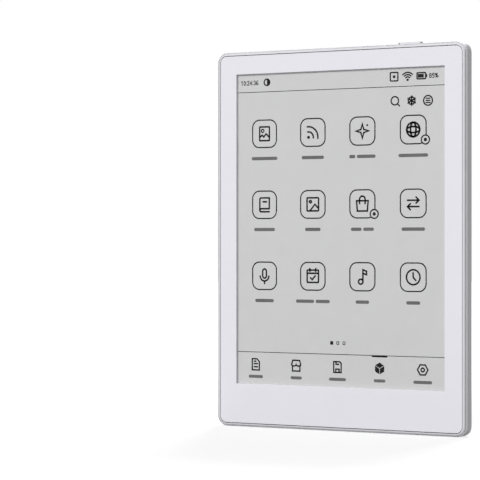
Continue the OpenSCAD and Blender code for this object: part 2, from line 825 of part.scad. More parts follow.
module board_screws() {
    color("#55585C") upright() for (p = screws) difference() {
        union() {
            slab(d_board_back, d_board_back + screw_head_t) translate(p) circle(screw_head_r);
            slab(d_board - screw_deep + 0.1, d_board_back) translate(p) circle(screw_r);
        }
        // cross recess
        for (a = [0, 90]) slab(d_board_back + screw_head_t / 2, d_board_back + screw_head_t + over)
            translate(p) rotate(a) square([1.5 * screw_r, 0.4 * screw_r], center = true);
    }
}

// ---- antenna ----

d_coax = d_board_back + 0.2 + coax_r;
d_antenna = d_cover_in - 0.1;

module wifi_antenna() {
    color("#C08A4A") upright() block(antenna_x0, antenna_x0 + antenna_w, antenna_y0, antenna_y1,
        d_antenna, d_cover_in);
}

module antenna_coax() {
    y = (antenna_y0 + antenna_y1) / 2;
    color("#3B3D40") upright() wire([
        [antenna_plug[0], antenna_plug[1] + 1.15, d_coax],
        [antenna_plug[0], antenna_plug[1] + 3, d_coax],
        [coax_x, antenna_plug[1] + 8, d_coax],
        [coax_x, board_y1 + 4, d_coax],
        [coax_x, cell_y1 - 8, d_coax],
        [coax_x + 1, y - 4, d_antenna - coax_r - 0.1],
        [coax_x + 3, y - 1, d_antenna - coax_r],
        [coax_x + 6, y, d_antenna - coax_r],
        [coax_x + 10, y, d_antenna - coax_r]
    ], coax_r);
}

module antenna_plug() {
    color("#D4B45E") upright() slab(d_board_back, d_coax + coax_r) translate(antenna_plug) circle(1.1);
}

// ---- ports ----

module usb_shell() {
    wing_x = usb_w / 2 + 1.2;
    color("#BFC2C6") upright() {
        difference() {
            column(usb_sunk, usb_y1) slot(0, d_usb, usb_w, usb_h);
            column(usb_sunk - over, usb_y1 - usb_wall)
                slot(0, d_usb, usb_w - 2 * usb_wall, usb_h - 2 * usb_wall);
        }
        // wings soldered to the board
        for (s = [-1, 1], y = [board_foot_y + 0.2, usb_y1 - 1.8])
            block(s > 0 ? usb_w / 2 - usb_wall / 2 : -wing_x, s > 0 ? wing_x : usb_wall / 2 - usb_w / 2,
                y, y + 1.4, d_board_back, d_board_back + 0.2);
    }
}

module usb_tongue() {
    inner_w = usb_w - 2 * usb_wall;
    inner_h = usb_h - 2 * usb_wall;
    y1 = usb_y1 - usb_wall;
    color("#1F2022") upright() {
        column(y1 - usb_back_wall, y1) slot(0, d_usb, inner_w, inner_h);
        block(-3.35, 3.35, usb_sunk + 0.8, y1 - usb_back_wall, d_usb - 0.35, d_usb + 0.35);
    }
}

module card_socket() {
    x0 = card_x - card_socket_w / 2;
    color("#2A2B2E") upright() difference() {
        block(x0, x0 + card_socket_w, card_y0, card_y1, d_board_back, d_card1);
        block(card_space_x0, card_space_x1 + card_channel_w, card_y0 - over,
            card_y1 - card_end_wall, d_card0, d_card1 + over);
    }
}

module card_contacts() {
    pitch = card_space_w / 9;
    color("#D9B650") upright() for (k = [1 : 8]) let (x = card_space_x0 + k * pitch)
        block(x - 0.3, x + 0.3, card_y1 - card_end_wall - 4.2, card_y1 - card_end_wall,
            d_card0, d_card0 + 0.08);
}

module card_lid() {
    x0 = card_x - card_socket_w / 2;
    color("#C6C9CC") upright() difference() {
        block(x0, x0 + card_socket_w, card_y0, card_y1, d_card1, d_card1 + card_lid_t);
        // window over the contacts
        block(card_space_x0 + 2, card_space_x1 - 2, card_y1 - 5, card_y1 - 3.4, d_card1 - over,
            d_card1 + over);
    }
}

module card_slider() {
    color("#F0EFEA") upright() {
        block(card_space_x1 + slider_gap, card_space_x1 + card_channel_w - slider_gap, slider_y0,
            slider_y1, d_card0 + slider_gap, d_card1 - slider_gap);
        // finger that the card's shoulder pushes on
        block(card_space_x1 - 0.9, card_space_x1 + slider_gap + 0.2, slider_y0 + 1.2,
            slider_y0 + 2.2, d_card0 + slider_gap, d_card1 - slider_gap);
    }
}

module card_spring() {
    turns = 8;
    steps = 10;
    wire_r = 0.06;
    coil_r = 0.28;
    y0 = slider_y1 + wire_r;
    y1 = card_y1 - card_end_wall - wire_r;
    x = card_space_x1 + card_channel_w / 2;
    color("#B9BCC0") upright() wire([for (k = [0 : turns * steps])
        [x + coil_r * cos(360 * k / steps), y0 + (y1 - y0) * k / (turns * steps),
            d_card + coil_r * sin(360 * k / steps)]], wire_r, 6, [0, 1, 0]);
}

mic_y0 = board_foot_y + 0.9;
mic_h = 1;
d_mic = d_board_back + mic_h / 2;

module microphone() {
    color("#C9B458") upright() difference() {
        block(mic_x - 1.75, mic_x + 1.75, mic_y0, mic_y0 + 2.7, d_board_back, d_board_back + mic_h);
        column(mic_y0 - over, mic_y0 + 0.8) translate([mic_x, d_mic]) circle(mic_r);
    }
}

module mic_gasket() {
    color("#202123") upright() difference() {
        block(mic_x - 1.6, mic_x + 1.6, cover_wall, mic_y0, d_mic - mic_h / 2, d_mic + mic_h / 2);
        column(cover_wall - over, mic_y0 + over) translate([mic_x, d_mic]) circle(mic_r);
    }
}

// ---- power button ----

module power_button() {
    color("#DCDCE0") upright() {
        column(flange_y1, body_h + button_out) slot(button_x, d_button, button_l, button_t);
        block(button_x - button_l / 2 - flange_more, button_x + button_l / 2 + flange_more,
            flange_y0, flange_y1, flange_d0, flange_d1);
    }
}

module switch_plunger() {
    color("#2A2B2D") upright() block(button_x - plunger_w / 2, button_x + plunger_w / 2,
        switch_y1 - plunger_in, flange_y0, d_plunger - plunger_h / 2, d_plunger + plunger_h / 2);
}

module power_switch() {
    room = 0.08;
    color("#C9CBCE") upright() difference() {
        block(button_x - switch_w / 2, button_x + switch_w / 2, switch_y0, switch_y1, d_switch,
            d_switch + switch_h);
        block(button_x - plunger_w / 2 - room, button_x + plunger_w / 2 + room,
            switch_y1 - plunger_in - button_travel - 0.1, switch_y1 + over,
            d_plunger - plunger_h / 2 - room, d_plunger + plunger_h / 2 + room);
    }
}

module key_flex() {
    color("#B5763A") upright() slab(d_plate_back, d_plate_back + flex_t) {
        area(key_x - key_w / 2, key_x + key_w / 2, key_plug_y, switch_y1);
        area(button_x - switch_w / 2 - 0.4, key_x, switch_y0 - 0.4, switch_y1);
    }
}

module key_connector() {
    color("#E9E4D8") upright() block(key_x - key_w / 2 - 0.3, key_x + key_w / 2 + 0.3,
        key_plug_y, board_y1 - 0.6, d_plate_back + flex_t, d_board);
}

front_bezel();
bezel_tape();
mid_frame();
rear_cover();
accent_line();
touch_film();
touch_flex();
touch_chip();
touch_connector();
light_guide();
light_leds();
light_flex();
light_connector();
epaper_film();
display_glass();
display_drivers();
display_flex();
display_connector();
display_tape();
battery_cell();
battery_tape();
battery_board();
battery_tabs();
battery_lead_red();
battery_lead_black();
battery_lead_white();
battery_plug();
battery_socket();
main_board();
processor();
memory_chip();
processor_shield();
thermal_sheet();
storage_chip();
power_chip();
display_power_chip();
board_parts();
wifi_chip();
wifi_shield();
wifi_antenna();
antenna_coax();
antenna_plug();
usb_shell();
usb_tongue();
card_socket();
card_contacts();
card_lid();
card_slider();
card_spring();
microphone();
mic_gasket();
hall_sensor();
power_button();
switch_plunger();
power_switch();
key_flex();
key_connector();
board_screws();
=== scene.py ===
"""Finishes the e-reader: casing, screen and what it shows, ports, inner parts, and a plain studio."""
import json
import math

import bmesh
import bpy
from bpy.props import FloatProperty, FloatVectorProperty, IntProperty, PointerProperty
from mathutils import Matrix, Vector


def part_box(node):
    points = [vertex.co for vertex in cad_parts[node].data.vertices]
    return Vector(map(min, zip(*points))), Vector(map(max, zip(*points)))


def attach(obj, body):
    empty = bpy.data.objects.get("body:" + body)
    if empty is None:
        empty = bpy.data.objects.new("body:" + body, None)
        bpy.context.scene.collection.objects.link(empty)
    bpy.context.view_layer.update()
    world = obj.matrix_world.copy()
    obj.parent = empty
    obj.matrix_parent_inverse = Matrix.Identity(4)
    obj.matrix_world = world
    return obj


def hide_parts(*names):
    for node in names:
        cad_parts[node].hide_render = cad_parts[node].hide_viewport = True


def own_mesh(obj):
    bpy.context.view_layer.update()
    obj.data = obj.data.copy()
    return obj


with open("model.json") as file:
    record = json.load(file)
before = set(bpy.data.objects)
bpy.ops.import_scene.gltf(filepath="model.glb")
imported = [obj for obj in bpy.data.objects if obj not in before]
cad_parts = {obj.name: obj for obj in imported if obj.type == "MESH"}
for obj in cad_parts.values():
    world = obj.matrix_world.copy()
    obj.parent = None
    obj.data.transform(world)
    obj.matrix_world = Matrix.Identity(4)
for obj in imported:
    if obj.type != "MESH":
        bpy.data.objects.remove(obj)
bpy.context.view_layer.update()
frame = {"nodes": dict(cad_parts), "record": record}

bl_info = {
    "name": "E-reader finish",
    "version": (1, 0, 0),
    "blender": (4, 5, 0),
    "location": "3D Viewport > Sidebar > E-reader",
    "description": "Dresses the packed e-reader and sets it in a plain studio",
    "category": "Object",
}

MM = 0.001
STEEP = 0.7                                        # least Z of a normal that points up or down
BODY = {name: body for body, names in frame["record"]["behaviour"]["bodies"].items() for name in names}
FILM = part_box("touch_film")


# ---- sizes and colours ----

# properties with their units, named as those of bpy.props are

def LengthProperty(**values):
    return FloatProperty(unit="LENGTH", subtype="DISTANCE", **values)


def AngleProperty(**values):
    return FloatProperty(subtype="ANGLE", **values)


def ColourProperty(**values):
    return FloatVectorProperty(subtype="COLOR", **values)


class CasingSettings(bpy.types.PropertyGroup):
    """Sizes and colours of the casing"""
    edge: LengthProperty(name="Edge softness", description="Width of the rounding on sharp edges",
                         default=0.045 * MM, min=0)
    panel_edge: LengthProperty(name="Panel edge", description="Rounding of the front panel's edges",
                               default=0.14 * MM, min=0)
    key_edge: LengthProperty(name="Key softness", description="Rounding of the power key's rim",
                             default=0.16 * MM, min=0)
    corner: LengthProperty(name="Corner", description="Corner radius of the casing", default=4.1 * MM,
                           min=0)
    key_length: LengthProperty(name="Key length", description="Length of the key outside the casing",
                               default=10.0 * MM, min=0)
    # painted shade: the key's ends are darkened over this length
    key_end: LengthProperty(name="Key end shade", description="Length of the painted shade at each end",
                            default=0.9 * MM, min=0)
    lean: LengthProperty(name="Cover lean", description="How far the cover's sides lean in at the back",
                         default=0.3 * MM, min=0)
    panel: ColourProperty(name="Panel", description="Colour of the front panel",
                          default=(0.79, 0.78, 0.83))
    frame: ColourProperty(name="Frame", description="Colour of the frame", default=(0.70, 0.695, 0.73))
    cover: ColourProperty(name="Cover", description="Colour of the rear cover",
                          default=(0.46, 0.462, 0.487))
    key: ColourProperty(name="Key", description="Colour of the power key", default=(0.70, 0.70, 0.73))
    accent: ColourProperty(name="Accent", description="Colour of the line on the back",
                           default=(0.70, 0.69, 0.60))


class ScreenSettings(bpy.types.PropertyGroup):
    """Sizes and colours of the screen and what it shows"""
    paper: ColourProperty(name="Paper", description="Colour of the blank screen",
                          default=(0.595, 0.595, 0.598))
    ink: ColourProperty(name="Ink", description="Colour of the dark dots",
                        default=(0.012, 0.012, 0.013))
    label: ColourProperty(name="Label", description="Colour of the bare labels",
                          default=(0.15, 0.15, 0.15))
    line: LengthProperty(name="Line", description="Line width of the motifs", default=0.67 * MM, min=0)
    tile: LengthProperty(name="Tile", description="Side of a tile in the grid", default=10.8 * MM,
                         min=0)
    tile_radius: LengthProperty(name="Tile radius", description="Corner radius of a tile",
                                default=3 * MM, min=0)
    tile_line: LengthProperty(name="Tile line", description="Line width of a tile's outline",
                              default=0.5 * MM, min=0)
    columns: IntProperty(name="Columns", description="Tiles in a row", default=4, min=1)
    rows: IntProperty(name="Rows", description="Rows of tiles", default=3, min=1)
    pitch_x: LengthProperty(name="Column pitch", description="Distance between columns",
                            default=21.62 * MM, min=0)
    pitch_z: LengthProperty(name="Row pitch", description="Distance between rows", default=28.0 * MM,
                            min=0)
    middle_x: LengthProperty(name="Middle", description="Sideways middle of the content",
                             default=-0.67 * MM)
    middle_z: LengthProperty(name="Grid height", description="Height of the grid's middle",
                             default=87.78 * MM)


class StageSettings(bpy.types.PropertyGroup):
    """Light, floor and camera"""
    ambient: FloatProperty(name="Ambient", description="Strength of the light from all round",
                           default=0.36, min=0)
    key: FloatProperty(name="Key", description="Strength of the main lamp", default=2.12, min=0)
    key_height: AngleProperty(name="Key height", description="Angle of the main lamp above the floor",
                              default=math.radians(27))
    key_side: AngleProperty(name="Key side", description="Angle of the main lamp to the screen's right",
                            default=math.radians(-10))
    fill: FloatProperty(name="Back fill", description="Strength of the lamp behind", default=2.45,
                        min=0)
    side: FloatProperty(name="Side fill", description="Strength of the lamp at the right", default=0.28,
                        min=0)
    lamp_width: AngleProperty(name="Lamp width", description="Angle that a lamp covers in the sky",
                              default=math.radians(22))
    floor: ColourProperty(name="Floor", description="Colour of the floor", default=(0.32, 0.32, 0.32))
    lens: FloatProperty(name="Lens", description="Focal length in millimetres", default=161.35, min=1)
    camera_place: FloatVectorProperty(name="Camera", description="Place of the camera", unit="LENGTH",
                                      subtype="TRANSLATION", default=(0.3868, -0.7394, 0.0739))
    camera_turn: AngleProperty(name="Camera turn", description="Angle of the camera to the left",
                               default=math.radians(30.319))


# ---- helpers ----

def casing():
    return bpy.context.scene.reader_casing


def screen():
    return bpy.context.scene.reader_screen


def stage_settings():
    return bpy.context.scene.reader_stage


def add_object(name, data):
    """New object in the scene that shows this mesh, lamp or camera"""
    obj = bpy.data.objects.new(name, data)
    bpy.context.scene.collection.objects.link(obj)
    return obj


def settle(obj, material, body="reader", nodes=()):
    """Gives a finished piece its material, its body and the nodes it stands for"""
    obj.data.materials.clear()
    obj.data.materials.append(material)
    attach(obj, body)
    if nodes:
        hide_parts(*nodes)
    return obj


def plain_mesh(obj):
    """Turns a piece and its modifiers into a plain mesh"""
    bpy.context.view_layer.update()
    evaluated = obj.evaluated_get(bpy.context.evaluated_depsgraph_get())
    mesh = bpy.data.meshes.new_from_object(evaluated)
    mesh.name = obj.name
    obj.modifiers.clear()
    old = obj.data
    obj.data = mesh
    if old.users == 0:
        bpy.data.meshes.remove(old)
    return obj


def object_of(bm, name):
    """Ends a bmesh in a new object with smooth faces between its sharp edges"""
    mesh = bpy.data.meshes.new(name)
    bm.to_mesh(mesh)
    bm.free()
    if "custom_normal" in mesh.attributes:
        mesh.attributes.remove(mesh.attributes["custom_normal"])
    mesh.shade_smooth()
    mesh.set_sharp_from_angle(angle=math.radians(30))
    return add_object(name, mesh)


def dressed_copy(node_name, name, edge, segments=2, move=None, fine=None):
    """Copies a CAD node as clean faces with softened edges; move may shift its points, and fine
    picks those of a zone whose narrow faces stay as they are"""
    merge, flat, sharp = 0.002 * MM, math.radians(0.5), math.radians(35)
    bm = bmesh.new()
    bm.from_mesh(frame["nodes"][node_name].data)
    bmesh.ops.remove_doubles(bm, verts=bm.verts, dist=merge)
    wide = {v for v in bm.verts if not (fine and fine(v.co))}
    bmesh.ops.dissolve_limit(bm, angle_limit=flat, verts=[v for v in bm.verts if v in wide],
                             edges=[e for e in bm.edges if all(v in wide for v in e.verts)])
    weight = bm.edges.layers.float.new("bevel_weight_edge")
    for e in bm.edges:
        soften = e.is_manifold and e.calc_face_angle() > sharp
        e[weight] = float(soften and all(v in wide for v in e.verts))
    if move:
        for v in bm.verts:
            v.co = move(v.co)
    obj = object_of(bm, name)
    bevel = obj.modifiers.new("soft edges", "BEVEL")
    bevel.width = edge
    bevel.segments = segments
    bevel.limit_method = "WEIGHT"
    bevel.harden_normals = True
    return plain_mesh(obj)


def polar(r, degrees):
    """Point at a distance and an angle from the middle"""
    a = math.radians(degrees)
    return r * math.cos(a), r * math.sin(a)


def arc(x, z, r, start, end, steps=12):
    points = (polar(r, start + (end - start) * k / steps) for k in range(steps + 1))
    return [(x + a, z + b) for a, b in points]


def circle(x, z, r, steps):
    return arc(x, z, r, 0, 360, steps)[:-1]


def round_rectangle(x0, x1, z0, z1, r, steps=8):
    """Points round a rectangle with round corners, in X and Z"""
    corners = ((x1 - r, z1 - r, 0), (x0 + r, z1 - r, 90), (x0 + r, z0 + r, 180), (x1 - r, z0 + r, 270))
    return [point for x, z, start in corners for point in arc(x, z, r, start, start + 90, steps)]


def band(bm, a, b):
    """Faces between two loops of equally many vertices"""
    return [bm.faces.new(corners) for corners in zip(a, a[1:] + a[:1], b[1:] + b[:1], b)]


def round_plate(name, low, high, layers):
    """Closed plate with round corners over a box; a layer is its inset, corner radius and depth"""
    bm = bmesh.new()
    rows = []
    for in_by, radius, y in layers:
        outline = round_rectangle(low.x + in_by, high.x - in_by, low.z + in_by, high.z - in_by, radius)
        rows.append([bm.verts.new((x, y, z)) for x, z in outline])
    for a, b in zip(rows, rows[1:]):
        band(bm, a, b)
    bm.faces.new(rows[0])
    bm.faces.new(rows[-1])
    bmesh.ops.recalc_face_normals(bm, faces=bm.faces)
    return object_of(bm, name)


def inset(p, low, high, corner):
    """How far a point lies in from a round-cornered outline, within the width of its corners"""
    half_x, half_z = (high.x - low.x) / 2, (high.z - low.z) / 2
    x = abs(p.x - (low.x + high.x) / 2) - (half_x - corner)
    z = abs(p.z - (low.z + high.z) / 2) - (half_z - corner)
    return corner - math.hypot(max(x, 0), max(z, 0))


def paint_shade_on_faces(obj, material, chosen):
    """Paints shade on the faces that chosen picks by their middle and their normal, as a second material
    """
    obj.data.materials.append(material)
    for face in obj.data.polygons:
        if chosen(face.center, face.normal):
            face.material_index = 1


# ---- node trees ----

def feed(tree, socket, value):
    """Links an input to another node's output, or sets it"""
    if isinstance(value, bpy.types.NodeSocket):
        tree.links.new(value, socket)
    else:
        socket.default_value = value


def fill(tree, made, **values):
    """Feeds the inputs with these names, with _ for a space, and sets the rest on the node itself"""
    for key, value in values.items():
        label = key.replace("_", " ")
        if label in made.inputs:
            feed(tree, made.inputs[label], value)
        else:
            setattr(made, key, value)
    return made


def node(tree, kind, **values):
    return fill(tree, tree.nodes.new(kind), **values)


def output_of(tree, kind, **values):
    """First output of a new node"""
    return node(tree, kind, **values).outputs[0]


def maths(tree, operation, *values):
    made = node(tree, "ShaderNodeMath", operation=operation)
    for socket, value in zip(made.inputs, values):
        feed(tree, socket, value)
    return made.outputs[0]


def start_tree(name, **kinds):
    """New geometry node tree with these inputs; gives the tree and its inputs"""
    tree = bpy.data.node_groups.new(name, "GeometryNodeTree")
    new_socket = tree.interface.new_socket
    new_socket("Geometry", in_out="INPUT", socket_type="NodeSocketGeometry")
    for label, kind in kinds.items():
        new_socket(label.replace("_", " "), in_out="INPUT", socket_type="NodeSocket" + kind)
    new_socket("Geometry", in_out="OUTPUT", socket_type="NodeSocketGeometry")
    return tree, node(tree, "NodeGroupInput").outputs


def end_tree(tree, made, given, **turn):
    """Puts a tree's shape in its place and ends it in plain geometry with its material"""
    placed = output_of(tree, "GeometryNodeTransform", Geometry=made, Translation=given["Place"], **turn)
    real = output_of(tree, "GeometryNodeRealizeInstances", Geometry=placed)
    painted = output_of(tree, "GeometryNodeSetMaterial", Geometry=real, Material=given["Material"])
    node(tree, "NodeGroupOutput", Geometry=painted)
    return tree


def with_nodes(name, tree, **values):
    """New piece made by a geometry node tree with these named inputs, as a plain mesh"""
    obj = add_object(name, bpy.data.meshes.new(name))
    modifier = obj.modifiers.new(tree.name, "NODES")
    modifier.node_group = tree
    for item in tree.interface.items_tree:
        label = item.name.replace(" ", "_")
        if item.item_type == "SOCKET" and item.in_out == "INPUT" and label in values:
            modifier[item.identifier] = values[label]
    return plain_mesh(obj)


# ---- finishes ----

def shader(name):
    material = bpy.data.materials.new(name)
    material.use_nodes = True
    tree = material.node_tree
    return material, tree, tree.nodes["Principled BSDF"]


def object_place(tree):
    return node(tree, "ShaderNodeTexCoord").outputs["Object"]


def noise(tree, scale, detail=3.0, stretch=(1, 1, 1)):
    """Noise on Object coordinates; scale counts its features in a metre"""
    place = output_of(tree, "ShaderNodeMapping", Vector=object_place(tree), Scale=stretch)
    return node(tree, "ShaderNodeTexNoise", Vector=place, Scale=scale, Detail=detail).outputs["Fac"]


def spread(tree, source, low, high, start=0.3, end=0.7, **kind):
    """Maps a stretch of values on to a range; by default the stretch is the middle of a noise"""
    return output_of(tree, "ShaderNodeMapRange", Value=source, From_Min=start, From_Max=end,
                     To_Min=low, To_Max=high, **kind)


def blend_colours(tree, factor, a, b):
    """Mixes two colours, each given in numbers or as another node's output"""
    made = node(tree, "ShaderNodeMix", data_type="RGBA")
    tree.links.new(factor, made.inputs[0])
    for socket, value in ((made.inputs[6], a), (made.inputs[7], b)):
        feed(tree, socket, value if isinstance(value, bpy.types.NodeSocket) else (*value, 1))
    return made.outputs[2]


def shade_of(colour, amount):
    return tuple(max(0.0, min(1.0, c * amount)) for c in colour)


def dress(tree, bsdf, colour, roughness, height, bump):
    """Gives a shader its colour, its roughness and a bump; bump is in millimetres"""
    relief = output_of(tree, "ShaderNodeBump", Strength=1.0, Distance=bump * MM, Height=height)
    fill(tree, bsdf, Base_Color=colour, Roughness=roughness, Normal=relief)


def finish(name, colour, roughness, grain=2500, bump=0.01, mottle=0.02, rough_spread=0.06,
           stretch=(1, 1, 1), **shader_values):
    """Finish with a faint mottle, a grainy roughness and a fine bump; grain is in grains to a metre"""
    material, tree, bsdf = shader(name)
    grains_in_patch = 40
    coarse = noise(tree, grain / grains_in_patch, 2, stretch)
    fine = noise(tree, grain, 4, stretch)
    tint = blend_colours(tree, spread(tree, coarse, 0, 1), shade_of(colour, 1 - mottle),
                         shade_of(colour, 1 + mottle))
    grainy = spread(tree, fine, roughness - rough_spread, roughness + rough_spread)
    dress(tree, bsdf, tint, grainy, fine, bump)
    fill(tree, bsdf, **shader_values)
    return material


def striped(name, base, stripe, period, share, roughness, metallic=0.0):
    """Fine straight stripes along Z, such as copper tracks under a film; period is in millimetres"""
    material, tree, bsdf = shader(name)
    one_band = 0.314                               # scale at which a wave has one band in a metre
    wave = node(tree, "ShaderNodeTexWave", wave_type="BANDS", bands_direction="X",
                Vector=object_place(tree), Scale=one_band / (period * MM), Distortion=0.0)
    start, blur, rough_spread = 1 - share, 0.08, 0.08
    edge = spread(tree, wave.outputs["Fac"], 0, 1, start - blur, start + blur)
    grainy = spread(tree, noise(tree, 4000), roughness - rough_spread, roughness + rough_spread)
    dress(tree, bsdf, blend_colours(tree, edge, base, stripe), grainy, edge, bump=0.01)
    fill(tree, bsdf, Metallic=metallic)
    return material


def moulded_white(name, colour, roughness, bump):
    return finish(name, colour, roughness, grain=4200, bump=bump, mottle=0.008, rough_spread=0.05)


def brushed(name, colour, roughness, stretch=(1, 1, 0.04)):
    return finish(name, colour, roughness, grain=9000, bump=0.004, mottle=0.04, stretch=stretch,
                  Metallic=1.0)


# ---- casing ----

def painted_joint_shade():
    """Painted shade: a dark material for the walls inside the fine joints of the casing, standing in for
    the shade that falls in them
    """
    return (bpy.data.materials.get("painted joint shade")
            or finish("painted joint shade", shade_of(casing().frame, 0.12), 0.7, grain=3000, bump=0.004))


class READER_OT_front_panel(bpy.types.Operator):
    """Front panel with its window, softened along both edges, with painted shade on the upper and lower
    walls of its rim
    """
    bl_idname = "reader.front_panel"
    bl_label = "Front panel"

    def execute(self, context):
        obj = dressed_copy("front_bezel", "front_panel", casing().panel_edge, segments=3)
        settle(obj, moulded_white("panel satin white", casing().panel, 0.56, 0.0012),
               nodes=["front_bezel"])
        low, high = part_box("front_bezel")
        at_edge = 0.05 * MM

        def end_wall(p, n):
            """Upper and lower walls of the panel's rim, which get painted shade"""
            return abs(n.z) > STEEP and inset(p, low, high, casing().corner) < at_edge

        # painted shade on the upper and lower walls of the panel's rim
        paint_shade_on_faces(obj, painted_joint_shade(), end_wall)
        return {"FINISHED"}


class READER_OT_frame_shell(bpy.types.Operator):
    """Frame with its rounded rim, from the CAD solid with softened edges, and painted shade in its
    joints
    """
    bl_idname = "reader.frame_shell"
    bl_label = "Frame"

    def execute(self, context):
        low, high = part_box("mid_frame")
        corner = casing().corner
        rim_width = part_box("front_bezel")[0].x - low.x
        rim_depth, shoulder, groove_bottom = 1 * MM, 0.62 * MM, 0.9 * MM
        groove_outer, groove_inner = 0.1 * MM, 0.45 * MM
        rise, rise_over = 0.25 * MM, 0.7 * corner

        def run_out(p):
            """Lets the fine groove grow shallow round the upper corners and along the top"""
            at_bottom = (groove_bottom < p.y - low.y < rim_depth
                         and inset(p, low, high, corner) < groove_inner)
            share = min(1, max(0, (p.z - high.z + corner) / rise_over))
            return p - Vector((0, share * rise if at_bottom else 0, 0))

        def in_joint(p, n):
            """Faces that get painted shade: the upper and lower walls of the gap round the panel, and
            the groove at both sides
            """
            deep, from_side = p.y - low.y, inset(p, low, high, corner)
            if deep > rim_depth or from_side > rim_width:
                return False
            # only the upper and lower walls of the gap get painted shade; the side walls keep the
            # frame's colour
            wall = abs(n.z) > STEEP and from_side > rim_width / 2
            groove = deep > shoulder and groove_outer < from_side < groove_inner
            # the groove gets painted shade only along the sides, not along the top and bottom edges
            along_side = low.z + corner * 0.5 < p.z < high.z - corner * 0.8
            return wall or (groove and along_side)

        obj = dressed_copy("mid_frame", "frame_shell", casing().edge, move=run_out,
                           fine=lambda p: p.y < low.y + rim_depth)
        settle(obj, moulded_white("frame satin white", casing().frame, 0.5, 0.0012),
               nodes=["mid_frame"])
        # painted shade in the joints of the rim
        paint_shade_on_faces(obj, painted_joint_shade(), in_joint)
        return {"FINISHED"}


class READER_OT_cover_shell(bpy.types.Operator):
    """Rear cover, its long sides leaning in a little towards the flat back"""
    bl_idname = "reader.cover_shell"
    bl_label = "Rear cover"

    def execute(self, context):
        low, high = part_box("rear_cover")
        side_wall = 0.9 * MM

        def lean_in(p):
            near = 1 - min(p.x - low.x, high.x - p.x) / side_wall
            shift = casing().lean * max(0, near) * (p.y - low.y) / (high.y - low.y)
            return p - Vector((math.copysign(shift, p.x), 0, 0))

        def by_socket(p):
            """The narrow faces at the opening of the charging socket"""
            return abs(p.x) < 5 * MM and 0.5 * MM < p.z < 3 * MM

        obj = dressed_copy("rear_cover", "cover_shell", casing().edge, move=lean_in, fine=by_socket)
        settle(obj, moulded_white("cover fine satin", casing().cover, 0.52, 0.002),
               nodes=["rear_cover"])
        return {"FINISHED"}


class READER_OT_accent_inlay(bpy.types.Operator):
    """Thin line let into the back, with a low crown"""
    bl_idname = "reader.accent_inlay"
    bl_label = "Accent line"

    def execute(self, context):
        low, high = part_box("accent_line")
        square, round_end = 0.02 * MM, (high.z - low.z) / 2 - 0.001 * MM
        edge, top = 0.05 * MM, 0.14 * MM
        crown, last_step = 0.03 * MM, 0.008 * MM
        layers = ((0, square, low.y), (0, square, high.y - crown),
                  (edge, round_end - edge, high.y - last_step), (top, round_end - top, high.y))
        settle(round_plate("accent_inlay", low, high, layers),
               finish("accent satin", casing().accent, 0.3, grain=3000, bump=0.001),
               nodes=["accent_line"])
        return {"FINISHED"}


class READER_OT_power_key(bpy.types.Operator):
    """Power key in the top edge, with a rounded rim"""
    bl_idname = "reader.power_key"
    bl_label = "Power key"

    def execute(self, context):
        obj = dressed_copy("power_button", "power_key_cap", casing().key_edge, segments=3)
        settle(obj, self.satin(), body=BODY["power_button"],
               nodes=["power_button"])
        return {"FINISHED"}

    def satin(self):
        """Satin white, with painted shade under the rim at both ends standing in for the shadow in the
        gaps by the key's ends, a little longer at the left
        """
        low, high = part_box("power_button")
        middle = (low.x + high.x) / 2 + 0.2 * MM
        end, mark = casing().key_length / 2, casing().key_end
        rim, blur = 0.15 * MM, 0.15 * MM
        material = moulded_white("key satin with painted shade", casing().key, 0.45, 0.001)
        tree = material.node_tree
        bsdf = tree.nodes["Principled BSDF"]
        place = node(tree, "ShaderNodeSeparateXYZ", Vector=object_place(tree)).outputs
        away = maths(tree, "ABSOLUTE", maths(tree, "SUBTRACT", place["X"], middle))
        # painted shade at both ends of the key, below its rim
        shade_at_end = spread(tree, away, 0, 1, end - mark, end - mark * 0.6, interpolation_type="SMOOTHSTEP")
        shade_under_rim = spread(tree, place["Z"], 1, 0, high.z - rim - blur, high.z - rim)
        white = bsdf.inputs["Base Color"].links[0].from_socket
        fill(tree, bsdf, Base_Color=blend_colours(tree, maths(tree, "MULTIPLY", shade_at_end, shade_under_rim),
                                                  white, shade_of(casing().key, 0.3)))
        return material


# ---- screen ----

